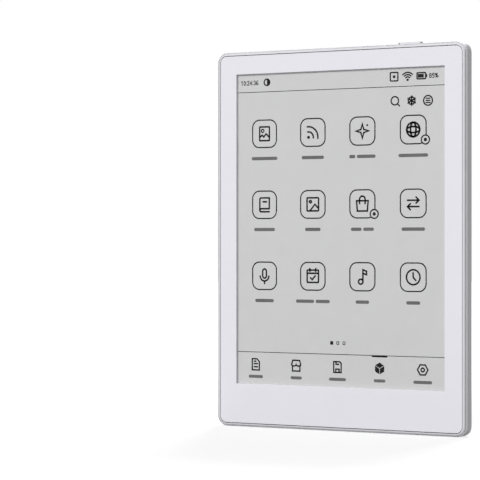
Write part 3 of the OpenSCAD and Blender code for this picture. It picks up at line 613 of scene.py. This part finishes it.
class Pen:
    """Draws thin flat shapes in millimetres; y is where their fronts lie, in metres"""

    def __init__(self, name, y, thick=0.012):
        self.bm = bmesh.new()
        self.name = name
        self.depths = (y, y + thick * MM)

    def put(self, *outlines):
        """Thin solid in one outline, or between an outline and a hole of equally many points"""
        front, back = [[[self.bm.verts.new((x * MM, y, z * MM)) for x, z in outline]
                        for outline in outlines] for y in self.depths]
        faces = []
        for side in (front, back):
            faces += [self.bm.faces.new(side[0])] if len(side) == 1 else band(self.bm, *side)
        for a, b in zip(front, back):
            faces += band(self.bm, a, b)
        bmesh.ops.recalc_face_normals(self.bm, faces=faces)

    def sides(self, points, width, closed):
        """Points to the left and the right of a path, with mitred corners"""
        sharpest = 0.4
        points = [Vector(p) for p in points]
        ways = [(b - a).normalized() for a, b in zip(points, points[1:] + points[:1])]
        left, right = [], []
        for i, here in enumerate(points):
            out = ways[i] if closed or i < len(points) - 1 else ways[i - 1]
            into = ways[i - 1] if closed or i > 0 else out
            way = (into + out).normalized()
            reach = Vector((-way.y, way.x)) * width / 2 / max(sharpest, way.dot(out))
            left.append(here + reach)
            right.append(here - reach)
        return left, right

    def line(self, points, width, closed=False):
        """Line along a path, joined to a loop or with round ends"""
        near = 0.02
        points = [p for k, p in enumerate(points) if k == 0 or math.dist(p, points[k - 1]) > near]
        left, right = self.sides(points, width, closed)

        def cap(end, rim):
            start = math.degrees(math.atan2(rim.y - end[1], rim.x - end[0]))
            return arc(*end, width / 2, start, start - 180, 5)[1:-1]

        if closed:
            self.put(left, right)
        else:
            self.put(left + cap(points[-1], left[-1]) + right[::-1] + cap(points[0], right[0]))

    def bar(self, x0, x1, z, height):
        """Short bar with round ends"""
        self.put(round_rectangle(x0, x1, z - height / 2, z + height / 2, height * 0.42, 3))

    def made(self, material):
        """Ends the drawing as a piece of the screen"""
        mesh = bpy.data.meshes.new(self.name)
        bmesh.ops.triangulate(self.bm, faces=self.bm.faces)
        self.bm.to_mesh(mesh)
        self.bm.free()
        return settle(add_object(self.name, mesh), material)


class MotifPen:
    """Draws one motif, about 6 mm high at size 1, round the point x, z; share thins a line"""

    def __init__(self, pen, x, z, width, size=1.0):
        self.pen = pen
        self.place = (x, z, size)
        self.width = width

    def solid(self, points):
        self.pen.put(moved(points, *self.place))

    def line(self, points, share=1.0, closed=False):
        self.pen.line(moved(points, *self.place), self.width * share, closed)

    def loop(self, points, share=1.0):
        self.line(points, share, closed=True)

    def ring(self, x, z, r, share=1.0):
        self.loop(circle(x, z, r, 28), share)

    def disc(self, x, z, r):
        self.solid(circle(x, z, r, 20))


def moved(points, x, z, scale=1.0):
    return [(x + a * scale, z + b * scale) for a, b in points]


def corner_box(half_w, half_h, r):
    return round_rectangle(-half_w, half_w, -half_h, half_h, r, 4)


# ---- motifs, each drawn with a MotifPen ----

def picture(pen):
    pen.loop(corner_box(2.2, 2.7, 0.15))
    pen.ring(-0.85, 1.15, 0.6, 0.75)
    pen.line([(-2.0, -1.25), (-1.1, -0.55), (-0.35, -1.25), (0.7, -0.05), (2.0, -1.25)])


def waves(pen):
    pen.disc(-1.9, -1.9, 0.62)
    for r in (2.15, 4.15):
        pen.line(arc(-1.9, -1.9, r, -6, 97))


def spark(pen):
    tips, hollows = circle(0, 0, 2.7, 4), arc(0, 0, 0.85, 45, 315, 3)
    pen.loop([point for pair in zip(tips, hollows) for point in pair])
    pen.disc(2.1, 2.2, 0.42)


def globe(pen):
    pen.ring(0, 0, 2.75, 1.1)
    for across, up in ((1.15, 2.75), (2.75, 1.15)):
        pen.loop([(across * a, up * b) for a, b in circle(0, 0, 1, 24)], 1.1)


def book(pen):
    pen.line([(-2.15, -2.2)] + arc(-1.6, 2.15, 0.55, 180, 90, 5) + [(2.15, 2.7), (2.15, -1.55)]
             + arc(-1.5, -2.15, 0.6, 90, 270, 6) + [(2.15, -2.75)])
    pen.line([(-0.7, 1.2), (0.9, 1.2)])


def gallery(pen):
    pen.loop(corner_box(2.55, 2.55, 0.35))
    pen.ring(-1.05, 1.05, 0.45)
    pen.line([(-1.2, -2.4), (0.95, 0.0), (2.4, -1.5)])


def bag(pen):
    pen.loop([(-2.5, 1.2), (2.5, 1.2), (2.15, -2.75), (-2.15, -2.75)])
    pen.line([(-1.2, 0.1)] + arc(0, 1.8, 1.2, 180, 0, 8) + [(1.2, 0.1)])


def exchange(pen):
    for way in (1, -1):
        pen.line(moved([(-2.4, 1.2), (2.4, 1.2)], 0, 0, way))
        pen.line(moved([(1.2, 2.4), (2.4, 1.2), (1.2, 0.1)], 0, 0, way))


def microphone(pen):
    pen.loop(round_rectangle(-0.85, 0.85, -0.9, 2.7, 0.84, 5))
    pen.line(arc(0, -0.1, 1.95, 180, 360))
    pen.line([(0.0, -2.05), (0.0, -3.0)])


def calendar(pen):
    pen.loop(corner_box(2.5, 2.4, 0.25))
    pen.line([(-2.4, 1.15), (2.4, 1.15)])
    for x in (-1.3, 1.3):
        pen.line([(x, 1.9), (x, 3.0)])
    pen.line([(-1.0, -0.6), (-0.25, -1.3), (1.1, 0.2)])


def note(pen):
    pen.ring(-0.7, -1.9, 0.95)
    pen.line([(0.25, -1.9), (0.25, 2.7), (1.8, 2.1), (1.8, 0.8), (0.25, 1.3)])


def clock(pen):
    pen.ring(0, 0, 2.85)
    pen.line([(-0.05, 1.7), (0.0, -0.1), (1.1, -1.2)])


def badge(pen):
    pen.ring(0, 0, 1.7, 0.8)
    pen.disc(0, 0, 0.7)


def page(pen):
    pen.loop([(0.6, 2.3), (-1.7, 2.3), (-1.7, -2.3), (1.7, -2.3), (1.7, 1.2)])
    for end, z in ((0.8, 0.3), (0.8, -1.0), (0.0, 1.3)):
        pen.line([(-0.8, z), (end, z)])


def stall(pen):
    pen.line([(-1.75, 0.1), (-1.75, -2.2), (1.75, -2.2), (1.75, 0.1)])
    scallops = arc(1.08, 0, 1.08, 0, -180, 6) + arc(-1.08, 0, 1.08, 0, -180, 6)
    pen.loop([(-1.6, 2.2), (1.6, 2.2)] + [(x, 0.45 + 0.55 * z) for x, z in scallops])


def disk(pen):
    pen.loop([(-1.8, 2.3), (1.1, 2.3), (1.8, 1.6), (1.8, -2.3), (-1.8, -2.3)])
    pen.line([(-0.8, -2.2), (-0.8, -0.9), (0.8, -0.9), (0.8, -2.2)])
    pen.line([(-0.7, 2.2), (-0.7, 1.2), (0.6, 1.2)])


def block(pen):
    """Hexagon in three faces with light joints between them"""
    r, gap, shrink = 2.4, 0.12, 0.93
    for middle in (90, -30, -150):
        face = [(0, 0)] + [polar(r, middle + turn) for turn in (60, 0, -60)]
        pen.solid(moved(face, *polar(gap, middle), shrink))


def nut(pen):
    pen.loop(circle(0, 0, 2.5, 6))
    pen.ring(0, 0, 0.8)


def magnifier(pen):
    pen.ring(-0.2, 0.2, 1.75)
    pen.line([(1.1, -1.1), (2.0, -2.1)])


def flake(pen):
    for way in range(30, 390, 60):
        pen.line([polar(0.2, way), polar(2.1, way)])
        fork = polar(1.1, way)
        for turn in (-50, 50):
            pen.line([fork] + moved([polar(0.8, way + turn)], *fork))


def menu(pen):
    pen.ring(0, 0, 2.1)
    for z in (-0.92, 0.0, 0.92):
        pen.line([(-0.95, z), (0.95, z)], 0.92)


def half_moon(pen):
    pen.ring(0, 0, 1.15)
    pen.solid(arc(0, 0, 1.1, -90, 90, 10))


def marker(pen):
    pen.loop(corner_box(1.6, 1.6, 0.3))
    pen.disc(0, 0, 0.6)


def wireless(pen):
    pen.disc(0, -1.3, 0.5)
    for r in (1.15, 2.0, 2.85):
        pen.line(arc(0, -1.3, r, 45, 135, 8))


def battery(pen):
    pen.loop(moved(corner_box(1.8, 1.15, 0.25), -0.15, 0))
    pen.solid(moved(corner_box(1.25, 0.7, 0.08), -0.35, 0))
    pen.line([(2.05, 0.4), (2.05, -0.4)])


# ---- words, figures and the pieces of the screen ----

def draw_words(pen, x, z, lengths, height):
    """Bare stand-in for a label: one plain bar to a word, about the point x, z"""
    gap = 0.7
    at = x - (sum(lengths) + gap * (len(lengths) - 1)) / 2
    for length in lengths:
        pen.bar(at, at + length, z, height)
        at += length + gap


def draw_figures(pen, text, x, z, stroke):
    """Plain figures 1.6 mm high between the middles of their strokes, centred on x and z"""
    top, side = 0.79, 0.35
    bowl = circle(0, -0.38, 0.41, 20)
    # the closed loops and the open strokes of each figure
    shapes = {
        "0": ([[(side * a, top * b) for a, b in circle(0, 0, 1, 24)]], []),
        "1": ([], [[(-0.24, 0.52), (0.06, top), (0.06, -top)]]),
        "2": ([], [arc(0, top - 0.37, 0.37, 165, -35, 9) + [(-0.36, -top), (0.4, -top)]]),
        "3": ([], [arc(-0.02, 0.41, 0.38, 145, -80, 10), arc(-0.02, -0.38, 0.41, 80, -145, 10)]),
        "4": ([], [[(0.17, -top), (0.17, top), (-0.4, -0.34), (0.42, -0.34)]]),
        "5": ([], [[(0.32, top), (-0.27, top), (-0.33, 0.1)] + arc(-0.02, -0.34, 0.45, 112, -140, 10)]),
        "6": ([bowl], [[(-0.4, -0.34), (-0.36, 0.1), (-0.2, 0.5), (0.05, 0.72), (0.3, top)]]),
        "8": ([circle(0, 0.42, 0.36, 20), bowl], []),
        "%": ([circle(-0.4, 0.44, 0.28, 16), circle(0.4, -0.44, 0.28, 16)],
              [[(-0.34, -top), (0.34, top)]]),
        ":": ([], []),
    }
    usual, widths = 1.2, {":": 0.46, "%": 1.5}
    x -= sum(widths.get(c, usual) for c in text) / 2
    for c in text:
        middle = x + widths.get(c, usual) / 2
        loops, strokes = shapes[c]
        for points in loops:
            pen.line(moved(points, middle, z), stroke, closed=True)
        for points in strokes:
            pen.line(moved(points, middle, z), stroke)
        for height in (-0.68, 0.32) if c == ":" else ():
            pen.put(circle(middle, z + height, stroke * 0.62, 10))
        x += widths.get(c, usual)


def ink_finish(name="screen ink"):
    colour = screen().label if name == "label ink" else screen().ink
    return (bpy.data.materials.get(name)
            or finish(name, colour, 0.7, grain=5200, bump=0.001, mottle=0.1, Specular_IOR_Level=0.1))


def paper_finish():
    return (bpy.data.materials.get("paper display")
            or finish("paper display", screen().paper, 0.62, grain=5200, bump=0.0015, mottle=0.012,
                      rough_spread=0.08))


def on_grid(tree, shape, columns, rows, pitch_x, pitch_y):
    """Instances of a shape on a flat grid"""

    def span(count, pitch):
        return maths(tree, "MULTIPLY", pitch, maths(tree, "SUBTRACT", count, 1))

    grid = output_of(tree, "GeometryNodeMeshGrid", Vertices_X=columns, Vertices_Y=rows,
                     Size_X=span(columns, pitch_x), Size_Y=span(rows, pitch_y))
    return output_of(tree, "GeometryNodeInstanceOnPoints", Points=grid, Instance=shape)


def tile_outline_tree():
    """Geometry nodes that lay round-cornered outlines on a grid in the plane of the screen"""
    tree, given = start_tree("tile outlines", Columns="Int", Rows="Int", Pitch_X="Float",
                             Pitch_Z="Float", Side="Float", Corner="Float", Line="Float",
                             Thickness="Float", Place="Vector", Material="Material")
    square = output_of(tree, "GeometryNodeCurvePrimitiveQuadrilateral", Width=given["Side"],
                       Height=given["Side"])
    outline = output_of(tree, "GeometryNodeFilletCurve", mode="POLY", Count=8, Curve=square,
                        Radius=given["Corner"])
    section = output_of(tree, "GeometryNodeCurvePrimitiveQuadrilateral", Width=given["Line"],
                        Height=given["Thickness"])
    tile = output_of(tree, "GeometryNodeCurveToMesh", Curve=outline, Profile_Curve=section)
    tiles = on_grid(tree, tile, given["Columns"], given["Rows"], given["Pitch X"], given["Pitch Z"])
    return end_tree(tree, tiles, given, Rotation=(math.radians(90), 0, 0))


class READER_OT_screen_face(bpy.types.Operator):
    """Film behind the window, with the paper-like face of the display"""
    bl_idname = "reader.screen_face"
    bl_label = "Screen face"

    def execute(self, context):
        low, high = FILM
        edge, corner = 0.05 * MM, 0.8 * MM
        layers = ((edge, corner - edge, high.y), (0, corner, high.y - edge),
                  (0, corner, low.y + edge), (edge, corner - edge, low.y))
        settle(round_plate("screen_face", low, high, layers), paper_finish(),
               nodes=["touch_film"])
        return {"FINISHED"}


class READER_OT_screen_tiles(bpy.types.Operator):
    """Outlines of the tiles on the screen, in a grid"""
    bl_idname = "reader.screen_tiles"
    bl_label = "Screen tiles"

    def execute(self, context):
        sizes = screen()
        obj = with_nodes("screen_tiles", tile_outline_tree(), Columns=sizes.columns, Rows=sizes.rows,
                         Pitch_X=sizes.pitch_x, Pitch_Z=sizes.pitch_z, Side=sizes.tile,
                         Corner=sizes.tile_radius, Line=sizes.tile_line, Thickness=0.024 * MM,
                         Place=(sizes.middle_x, FILM[0].y, sizes.middle_z), Material=ink_finish())
        settle(obj, ink_finish())
        return {"FINISHED"}


class READER_OT_screen_content(bpy.types.Operator):
    """Motifs, bare labels, rules and markers shown on the screen"""
    bl_idname = "reader.screen_content"
    bl_label = "Screen content"

    def execute(self, context):
        proud, status_z, stroke = 0.008 * MM, 136.0, 0.31
        self.face = FILM[0].y - proud
        self.line = screen().line / MM
        motifs, words = Pen("screen_motifs", self.face), Pen("screen_labels", self.face)
        self.tiles(motifs, words)
        self.badges()
        self.rules(motifs)
        self.bottom_row(motifs, words)
        self.status_rows(motifs)
        self.page_markers(motifs)
        motifs.made(ink_finish())
        words.made(ink_finish("label ink"))
        for name, text, x in (("screen_time", "10:24:36", -39.9), ("screen_charge", "85%", 40.3)):
            figures = Pen(name, self.face)
            draw_figures(figures, text, x, status_z, stroke)
            figures.made(ink_finish())
        return {"FINISHED"}

    def tile_place(self, column, row):
        """Middle of a tile in millimetres; column and row count from the upper left"""
        sizes = screen()
        return ((sizes.middle_x + (column - (sizes.columns - 1) / 2) * sizes.pitch_x) / MM,
                (sizes.middle_z + ((sizes.rows - 1) / 2 - row) * sizes.pitch_z) / MM)

    def tiles(self, motifs, words):
        """A motif in each tile, and under it a label with words of these lengths"""
        label_drop, label_height = 9.75, 1.3
        rows = (((picture, 11.6), (waves, 9.8), (spark, 2.6, 8.0), (globe, 12.4)),
                ((book, 9.4), (gallery, 6.8), (bag, 4.6, 4.6), (exchange, 9.8)),
                ((microphone, 8.4), (calendar, 8.0, 6.2), (note, 5.8), (clock, 5.8)))
        for r, row in enumerate(rows):
            for c, (motif, *lengths) in enumerate(row):
                x, z = self.tile_place(c, r)
                motif(MotifPen(motifs, x, z, self.line))
                draw_words(words, x, z - label_drop, lengths, label_height)

    def badges(self):
        """Badges that cover the lower right corner of two tiles, each on a patch of paper"""
        patches = Pen("screen_badge_patches", self.face - 0.01 * MM, thick=0.024)
        marks = Pen("screen_badges", self.face - 0.016 * MM)
        across, down, radius = 5.1, 3.9, 1.9
        for column, row in ((3, 0), (2, 1)):
            x, z = self.tile_place(column, row)
            patches.put(circle(x + across, z - down, radius, 28))
            badge(MotifPen(marks, x + across, z - down, self.line))
        patches.made(paper_finish())
        marks.made(ink_finish())

    def rules(self, motifs):
        """Rules under the status row and over the bottom row, with a thick stretch on the lower one"""
        half_window, half_rule = 45.3, 0.13
        corners = ((-1, -1), (1, -1), (1, 1), (-1, 1))
        for z in (132.3, 29.65):
            motifs.put([(a * half_window, z + b * half_rule) for a, b in corners])
        motifs.bar(14.1, 20.9, 29.4, 0.8)

    def bottom_row(self, motifs, words):
        """Motifs and labels under the grid; each motif has its size and the length of its label"""
        pitch, motif_z, label_z, label_height, thin = 18.2, 24.75, 20.0, 1.2, 0.88
        row = ((page, 0.95, 6.4), (stall, 0.95, 5.0), (disk, 0.9, 7.4), (block, 0.97, 4.9),
               (nut, 0.87, 7.8))
        for k, (motif, size, length) in enumerate(row):
            x = screen().middle_x / MM + (k - (len(row) - 1) / 2) * pitch
            motif(MotifPen(motifs, x, motif_z, self.line * thin, size))
            draw_words(words, x, label_z, (length,), label_height)

    def status_rows(self, motifs):
        """Small motifs in the status row and in the row below it, each with its place and size"""
        thin = 0.81
        for motif, x, z, size in ((half_moon, -32.0, 136.05, 1.1), (marker, 23.7, 136.1, 1),
                                  (wireless, 29.4, 136.0, 1), (battery, 35.3, 136.05, 1),
                                  (magnifier, 24.2, 126.75, 0.9), (flake, 31.1, 126.75, 0.87),
                                  (menu, 37.95, 126.65, 0.88)):
            motif(MotifPen(motifs, x, z, self.line * thin, size))

    def page_markers(self, motifs):
        """Three small squares, the first of them filled"""
        z, stroke = 34.05, 0.3
        motifs.put(moved(corner_box(0.68, 0.68, 0.05), -3.15, z))
        for x in (-0.5, 2.2):
            motifs.line(moved(corner_box(0.45, 0.5, 0.12), x, z), stroke, closed=True)


# ---- ports and inner parts ----

def contact_tree():
    """Geometry nodes that lay two rows of thin strips along X"""
    tree, given = start_tree("contact row", Count="Int", Pitch="Float", Strip="Vector",
                             Rows_apart="Float", Place="Vector", Material="Material")
    strip = output_of(tree, "GeometryNodeMeshCube", Size=given["Strip"])
    rows = on_grid(tree, strip, given["Count"], 2, given["Pitch"], given["Rows apart"])
    return end_tree(tree, rows, given)


class READER_OT_ports(bpy.types.Operator):
    """Charging socket with its contacts, and the card socket's lid"""
    bl_idname = "reader.ports"
    bl_label = "Ports"

    def execute(self, context):
        steel = brushed("tinned steel", (0.62, 0.63, 0.64), 0.3, (1, 1, 0.06))
        tongue = finish("tongue moulding", (0.02, 0.021, 0.023), 0.5, grain=6000, bump=0.003)
        for node_name, name, edge, material, slot in (
                ("usb_shell", "socket_shell", 0.05, steel, "tinned_steel"),
                ("card_lid", "card_cage", 0.02, steel, "tinned_steel"),
                ("usb_tongue", "socket_tongue", 0.05, tongue, "black_rubber")):
            settle(dressed_copy(node_name, name, edge * MM), material, nodes=[node_name])
        low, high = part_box("usb_tongue")
        gold = finish("gold plating", (0.83, 0.58, 0.22), 0.25, grain=7000, bump=0.001, Metallic=1.0)
        strips = with_nodes("socket_contacts", contact_tree(), Count=12, Pitch=0.5 * MM,
                            Strip=(0.26 * MM, 0.04 * MM, 3.6 * MM), Rows_apart=0.71 * MM,
                            Place=(0, (low.y + high.y) / 2, low.z + 2.2 * MM), Material=gold)
        settle(strips, gold)
        return {"FINISHED"}


def spring_tree():
    """Geometry nodes that sweep a wire round a coil along Z"""
    tree, given = start_tree("coil spring", Turns="Float", Coil="Float", Wire="Float",
                             Length="Float", Place="Vector", Material="Material")
    coil = output_of(tree, "GeometryNodeCurveSpiral", Resolution=20, Rotations=given["Turns"],
                     Start_Radius=given["Coil"], End_Radius=given["Coil"], Height=given["Length"])
    section = output_of(tree, "GeometryNodeCurvePrimitiveCircle", Resolution=8, Radius=given["Wire"])
    wire = output_of(tree, "GeometryNodeCurveToMesh", Curve=coil, Profile_Curve=section,
                     Fill_Caps=True)
    return end_tree(tree, wire, given)


class READER_OT_card_spring(bpy.types.Operator):
    """Coil spring over the card's slider"""
    bl_idname = "reader.card_spring"
    bl_label = "Card spring"

    def execute(self, context):
        low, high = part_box("card_spring")
        wire = 0.06 * MM
        steel = brushed("spring wire", (0.55, 0.56, 0.57), 0.25, (1, 1, 1))
        obj = with_nodes("card_spring_coil", spring_tree(), Turns=8.0, Wire=wire,
                         Coil=(high.x - low.x) / 2 - wire, Length=high.z - low.z - 2 * wire,
                         Place=((low.x + high.x) / 2, (low.y + high.y) / 2, low.z + wire),
                         Material=steel)
        settle(obj, steel, nodes=["card_spring"])
        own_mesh(obj)
        return {"FINISHED"}


def inner_finishes():
    """A finish for each material slot of the record that a CAD node still shows"""
    finishes = {
        "adhesive": finish("black adhesive", (0.024, 0.024, 0.026), 0.75, mottle=0.12),
        "flex_circuit": striped("flexible circuit", (0.32, 0.13, 0.03), (0.50, 0.24, 0.08), 0.5, 0.5,
                                0.4),
        "black_chip": finish("chip moulding", (0.022, 0.023, 0.026), 0.55, grain=5000, bump=0.006,
                             mottle=0.1),
        "connector": finish("connector moulding", (0.74, 0.70, 0.61), 0.45, grain=3500, bump=0.003),
        "light_guide": finish("light guide", (0.80, 0.86, 0.88), 0.12, grain=3000, bump=0.001,
                              Transmission_Weight=0.85, IOR=1.49),
        "lamp": finish("lamp phosphor", (0.86, 0.80, 0.52), 0.4, grain=4000, bump=0.004),
        "epaper": finish("display film", (0.56, 0.56, 0.55), 0.6, grain=5000, bump=0.002),
        "backplane": finish("backplane glass", (0.25, 0.30, 0.31), 0.08, grain=1500, bump=0.0005,
                            Transmission_Weight=0.3, IOR=1.5),
        "cell_pouch": finish("cell pouch", (0.50, 0.51, 0.53), 0.38, grain=1800, bump=0.03,
                             mottle=0.05, Metallic=0.8),
        "white_adhesive": finish("white adhesive", (0.80, 0.80, 0.77), 0.7, bump=0.008),
        "circuit_board": striped("circuit board", (0.012, 0.095, 0.045), (0.03, 0.16, 0.08), 0.9, 0.35,
                                 0.42),
        "nickel": brushed("nickel strip", (0.62, 0.60, 0.54), 0.3),
        "tinned_steel": brushed("shield steel", (0.60, 0.61, 0.62), 0.34),
        "graphite": finish("graphite sheet", (0.035, 0.036, 0.038), 0.5, grain=3000, bump=0.006,
                           Metallic=0.4),
        "parts_mixed": finish("small parts", (0.30, 0.24, 0.16), 0.45, grain=900, bump=0.004,
                              mottle=0.35),
        "copper": striped("antenna foil", (0.50, 0.26, 0.12), (0.72, 0.42, 0.22), 3.2, 0.6, 0.3,
                          metallic=0.7),
        "gold": finish("gold contact", (0.83, 0.58, 0.22), 0.28, grain=7000, bump=0.001, Metallic=1.0),
        "black_rubber": finish("black rubber", (0.014, 0.014, 0.015), 0.8, grain=3000, bump=0.01),
        "white_slider": finish("nylon", (0.78, 0.76, 0.70), 0.4, grain=3000, bump=0.003,
                               Subsurface_Weight=0.1),
        "dark_steel": brushed("blackened steel", (0.12, 0.12, 0.125), 0.38, (1, 1, 1)),
    }
    for name, colour in (("red", (0.42, 0.02, 0.015)), ("black", (0.02, 0.02, 0.021)),
                         ("white", (0.78, 0.78, 0.76))):
        finishes[name + "_wire"] = finish(name + " insulation", colour, 0.45, grain=4000, bump=0.003)
    return finishes


class READER_OT_inner_parts(bpy.types.Operator):
    """Finishes for every CAD node that still shows"""
    bl_idname = "reader.inner_parts"
    bl_label = "Inner parts"

    def execute(self, context):
        finishes = inner_finishes()
        for node_name, obj in frame["nodes"].items():
            if obj.hide_render:
                continue
            for place in obj.material_slots:
                label = place.material.name.split(".")[0]
                if label not in finishes:
                    raise RuntimeError(f"{node_name} has no finish for {label!r}")
                place.material = finishes[label]
        return {"FINISHED"}


# ---- stage ----

class READER_OT_stage(bpy.types.Operator):
    """Pale floor, soft lamps, white surroundings and the camera"""
    bl_idname = "reader.stage"
    bl_label = "Stage"

    def execute(self, context):
        self.floor()
        self.surroundings()
        settings = stage_settings()
        self.lamp("key lamp", settings.key_side, settings.key_height, settings.key)
        self.lamp("back lamp", math.radians(195), math.radians(42), settings.fill)
        self.lamp("side lamp", math.radians(102), math.radians(20), settings.side)
        self.camera()
        context.scene.view_settings.view_transform = "Standard"
        return {"FINISHED"}

    def floor(self):
        """Round floor that shows white far from the reader and keeps its shadow near it"""
        radius, corners = 3, 72
        near, far, light_near_it = 0.06, 0.45, 0.7
        mesh = bpy.data.meshes.new("floor")
        outline = [(x, y, 0) for x, y in circle(0, 0, radius, corners)]
        mesh.from_pydata(outline, [], [tuple(range(corners))])
        material, tree, bsdf = shader("pale floor")
        colour = stage_settings().floor
        tint = blend_colours(tree, spread(tree, noise(tree, 300), 0, 1), shade_of(colour, 0.995), colour)
        away = node(tree, "ShaderNodeVectorMath", operation="LENGTH", Vector=object_place(tree))
        light = spread(tree, away.outputs["Value"], light_near_it, 1, near, far,
                       interpolation_type="SMOOTHSTEP")
        fill(tree, bsdf, Base_Color=tint, Roughness=0.9, Specular_IOR_Level=0.0,
             Emission_Color=(1, 1, 1, 1),
             Emission_Strength=maths(tree, "MULTIPLY", self.seen(tree), light))
        mesh.materials.append(material)
        add_object("floor", mesh)

    def seen(self, tree):
        """1 for a ray that shows the surroundings in the view, in gloss or through glass, else 0"""
        rays = node(tree, "ShaderNodeLightPath").outputs
        gloss_or_glass = maths(tree, "MAXIMUM", rays["Is Glossy Ray"], rays["Is Transmission Ray"])
        return maths(tree, "MAXIMUM", rays["Is Camera Ray"], gloss_or_glass)

    def surroundings(self):
        world = bpy.data.worlds.new("studio")
        bpy.context.scene.world = world
        world.use_nodes = True
        tree = world.node_tree
        tree.nodes.clear()
        mix = node(tree, "ShaderNodeMixShader", Fac=self.seen(tree))
        for socket, strength in zip(mix.inputs[1:], (stage_settings().ambient, 1.0)):
            light = output_of(tree, "ShaderNodeBackground", Color=(1, 1, 1, 1), Strength=strength)
            feed(tree, socket, light)
        node(tree, "ShaderNodeOutputWorld", Surface=mix.outputs[0])

    def lamp(self, name, side, height, strength):
        """Broad lamp far away; side 0 is in front of the screen and a quarter turn at its right"""
        data = bpy.data.lights.new(name, "SUN")
        data.angle = stage_settings().lamp_width
        data.energy = strength
        away = Vector((math.sin(side) * math.cos(height), -math.cos(side) * math.cos(height),
                       math.sin(height)))
        obj = add_object(name, data)
        obj.location = away
        obj.rotation_euler = away.to_track_quat("Z", "Y").to_euler()

    def camera(self):
        data = bpy.data.cameras.new("camera")
        data.lens = stage_settings().lens
        data.sensor_width = 36
        data.clip_start = 0.01
        obj = add_object("camera", data)
        obj.location = stage_settings().camera_place
        obj.rotation_euler = (math.radians(90), 0, stage_settings().camera_turn)
        bpy.context.scene.camera = obj


class READER_PT_finish(bpy.types.Panel):
    """Lists the steps that dress the reader"""
    bl_label = "E-reader"
    bl_idname = "READER_PT_finish"
    bl_space_type = "VIEW_3D"
    bl_region_type = "UI"
    bl_category = "E-reader"

    def draw(self, context):
        for group_name in GROUPS:
            group = getattr(context.scene, group_name)
            box = self.layout.box()
            for name in group.bl_rna.properties.keys():
                if name not in ("rna_type", "name"):
                    box.prop(group, name)
        for step in STEPS:
            self.layout.operator(step.bl_idname)


STEPS = (READER_OT_front_panel, READER_OT_frame_shell, READER_OT_cover_shell, READER_OT_accent_inlay,
         READER_OT_power_key, READER_OT_screen_face, READER_OT_screen_tiles, READER_OT_screen_content,
         READER_OT_ports, READER_OT_card_spring, READER_OT_inner_parts, READER_OT_stage)
GROUPS = {"reader_casing": CasingSettings, "reader_screen": ScreenSettings,
          "reader_stage": StageSettings}


def register():
    for name, group in GROUPS.items():
        bpy.utils.register_class(group)
        setattr(bpy.types.Scene, name, PointerProperty(type=group))
    for shown in (*STEPS, READER_PT_finish):
        bpy.utils.register_class(shown)


def unregister():
    for shown in (READER_PT_finish, *reversed(STEPS)):
        bpy.utils.unregister_class(shown)
    for name, group in reversed(GROUPS.items()):
        delattr(bpy.types.Scene, name)
        bpy.utils.unregister_class(group)


def main():
    register()
    for step in STEPS:
        family, name = step.bl_idname.split(".")
        getattr(getattr(bpy.ops, family), name)()


if __name__ == "__main__":
    main()
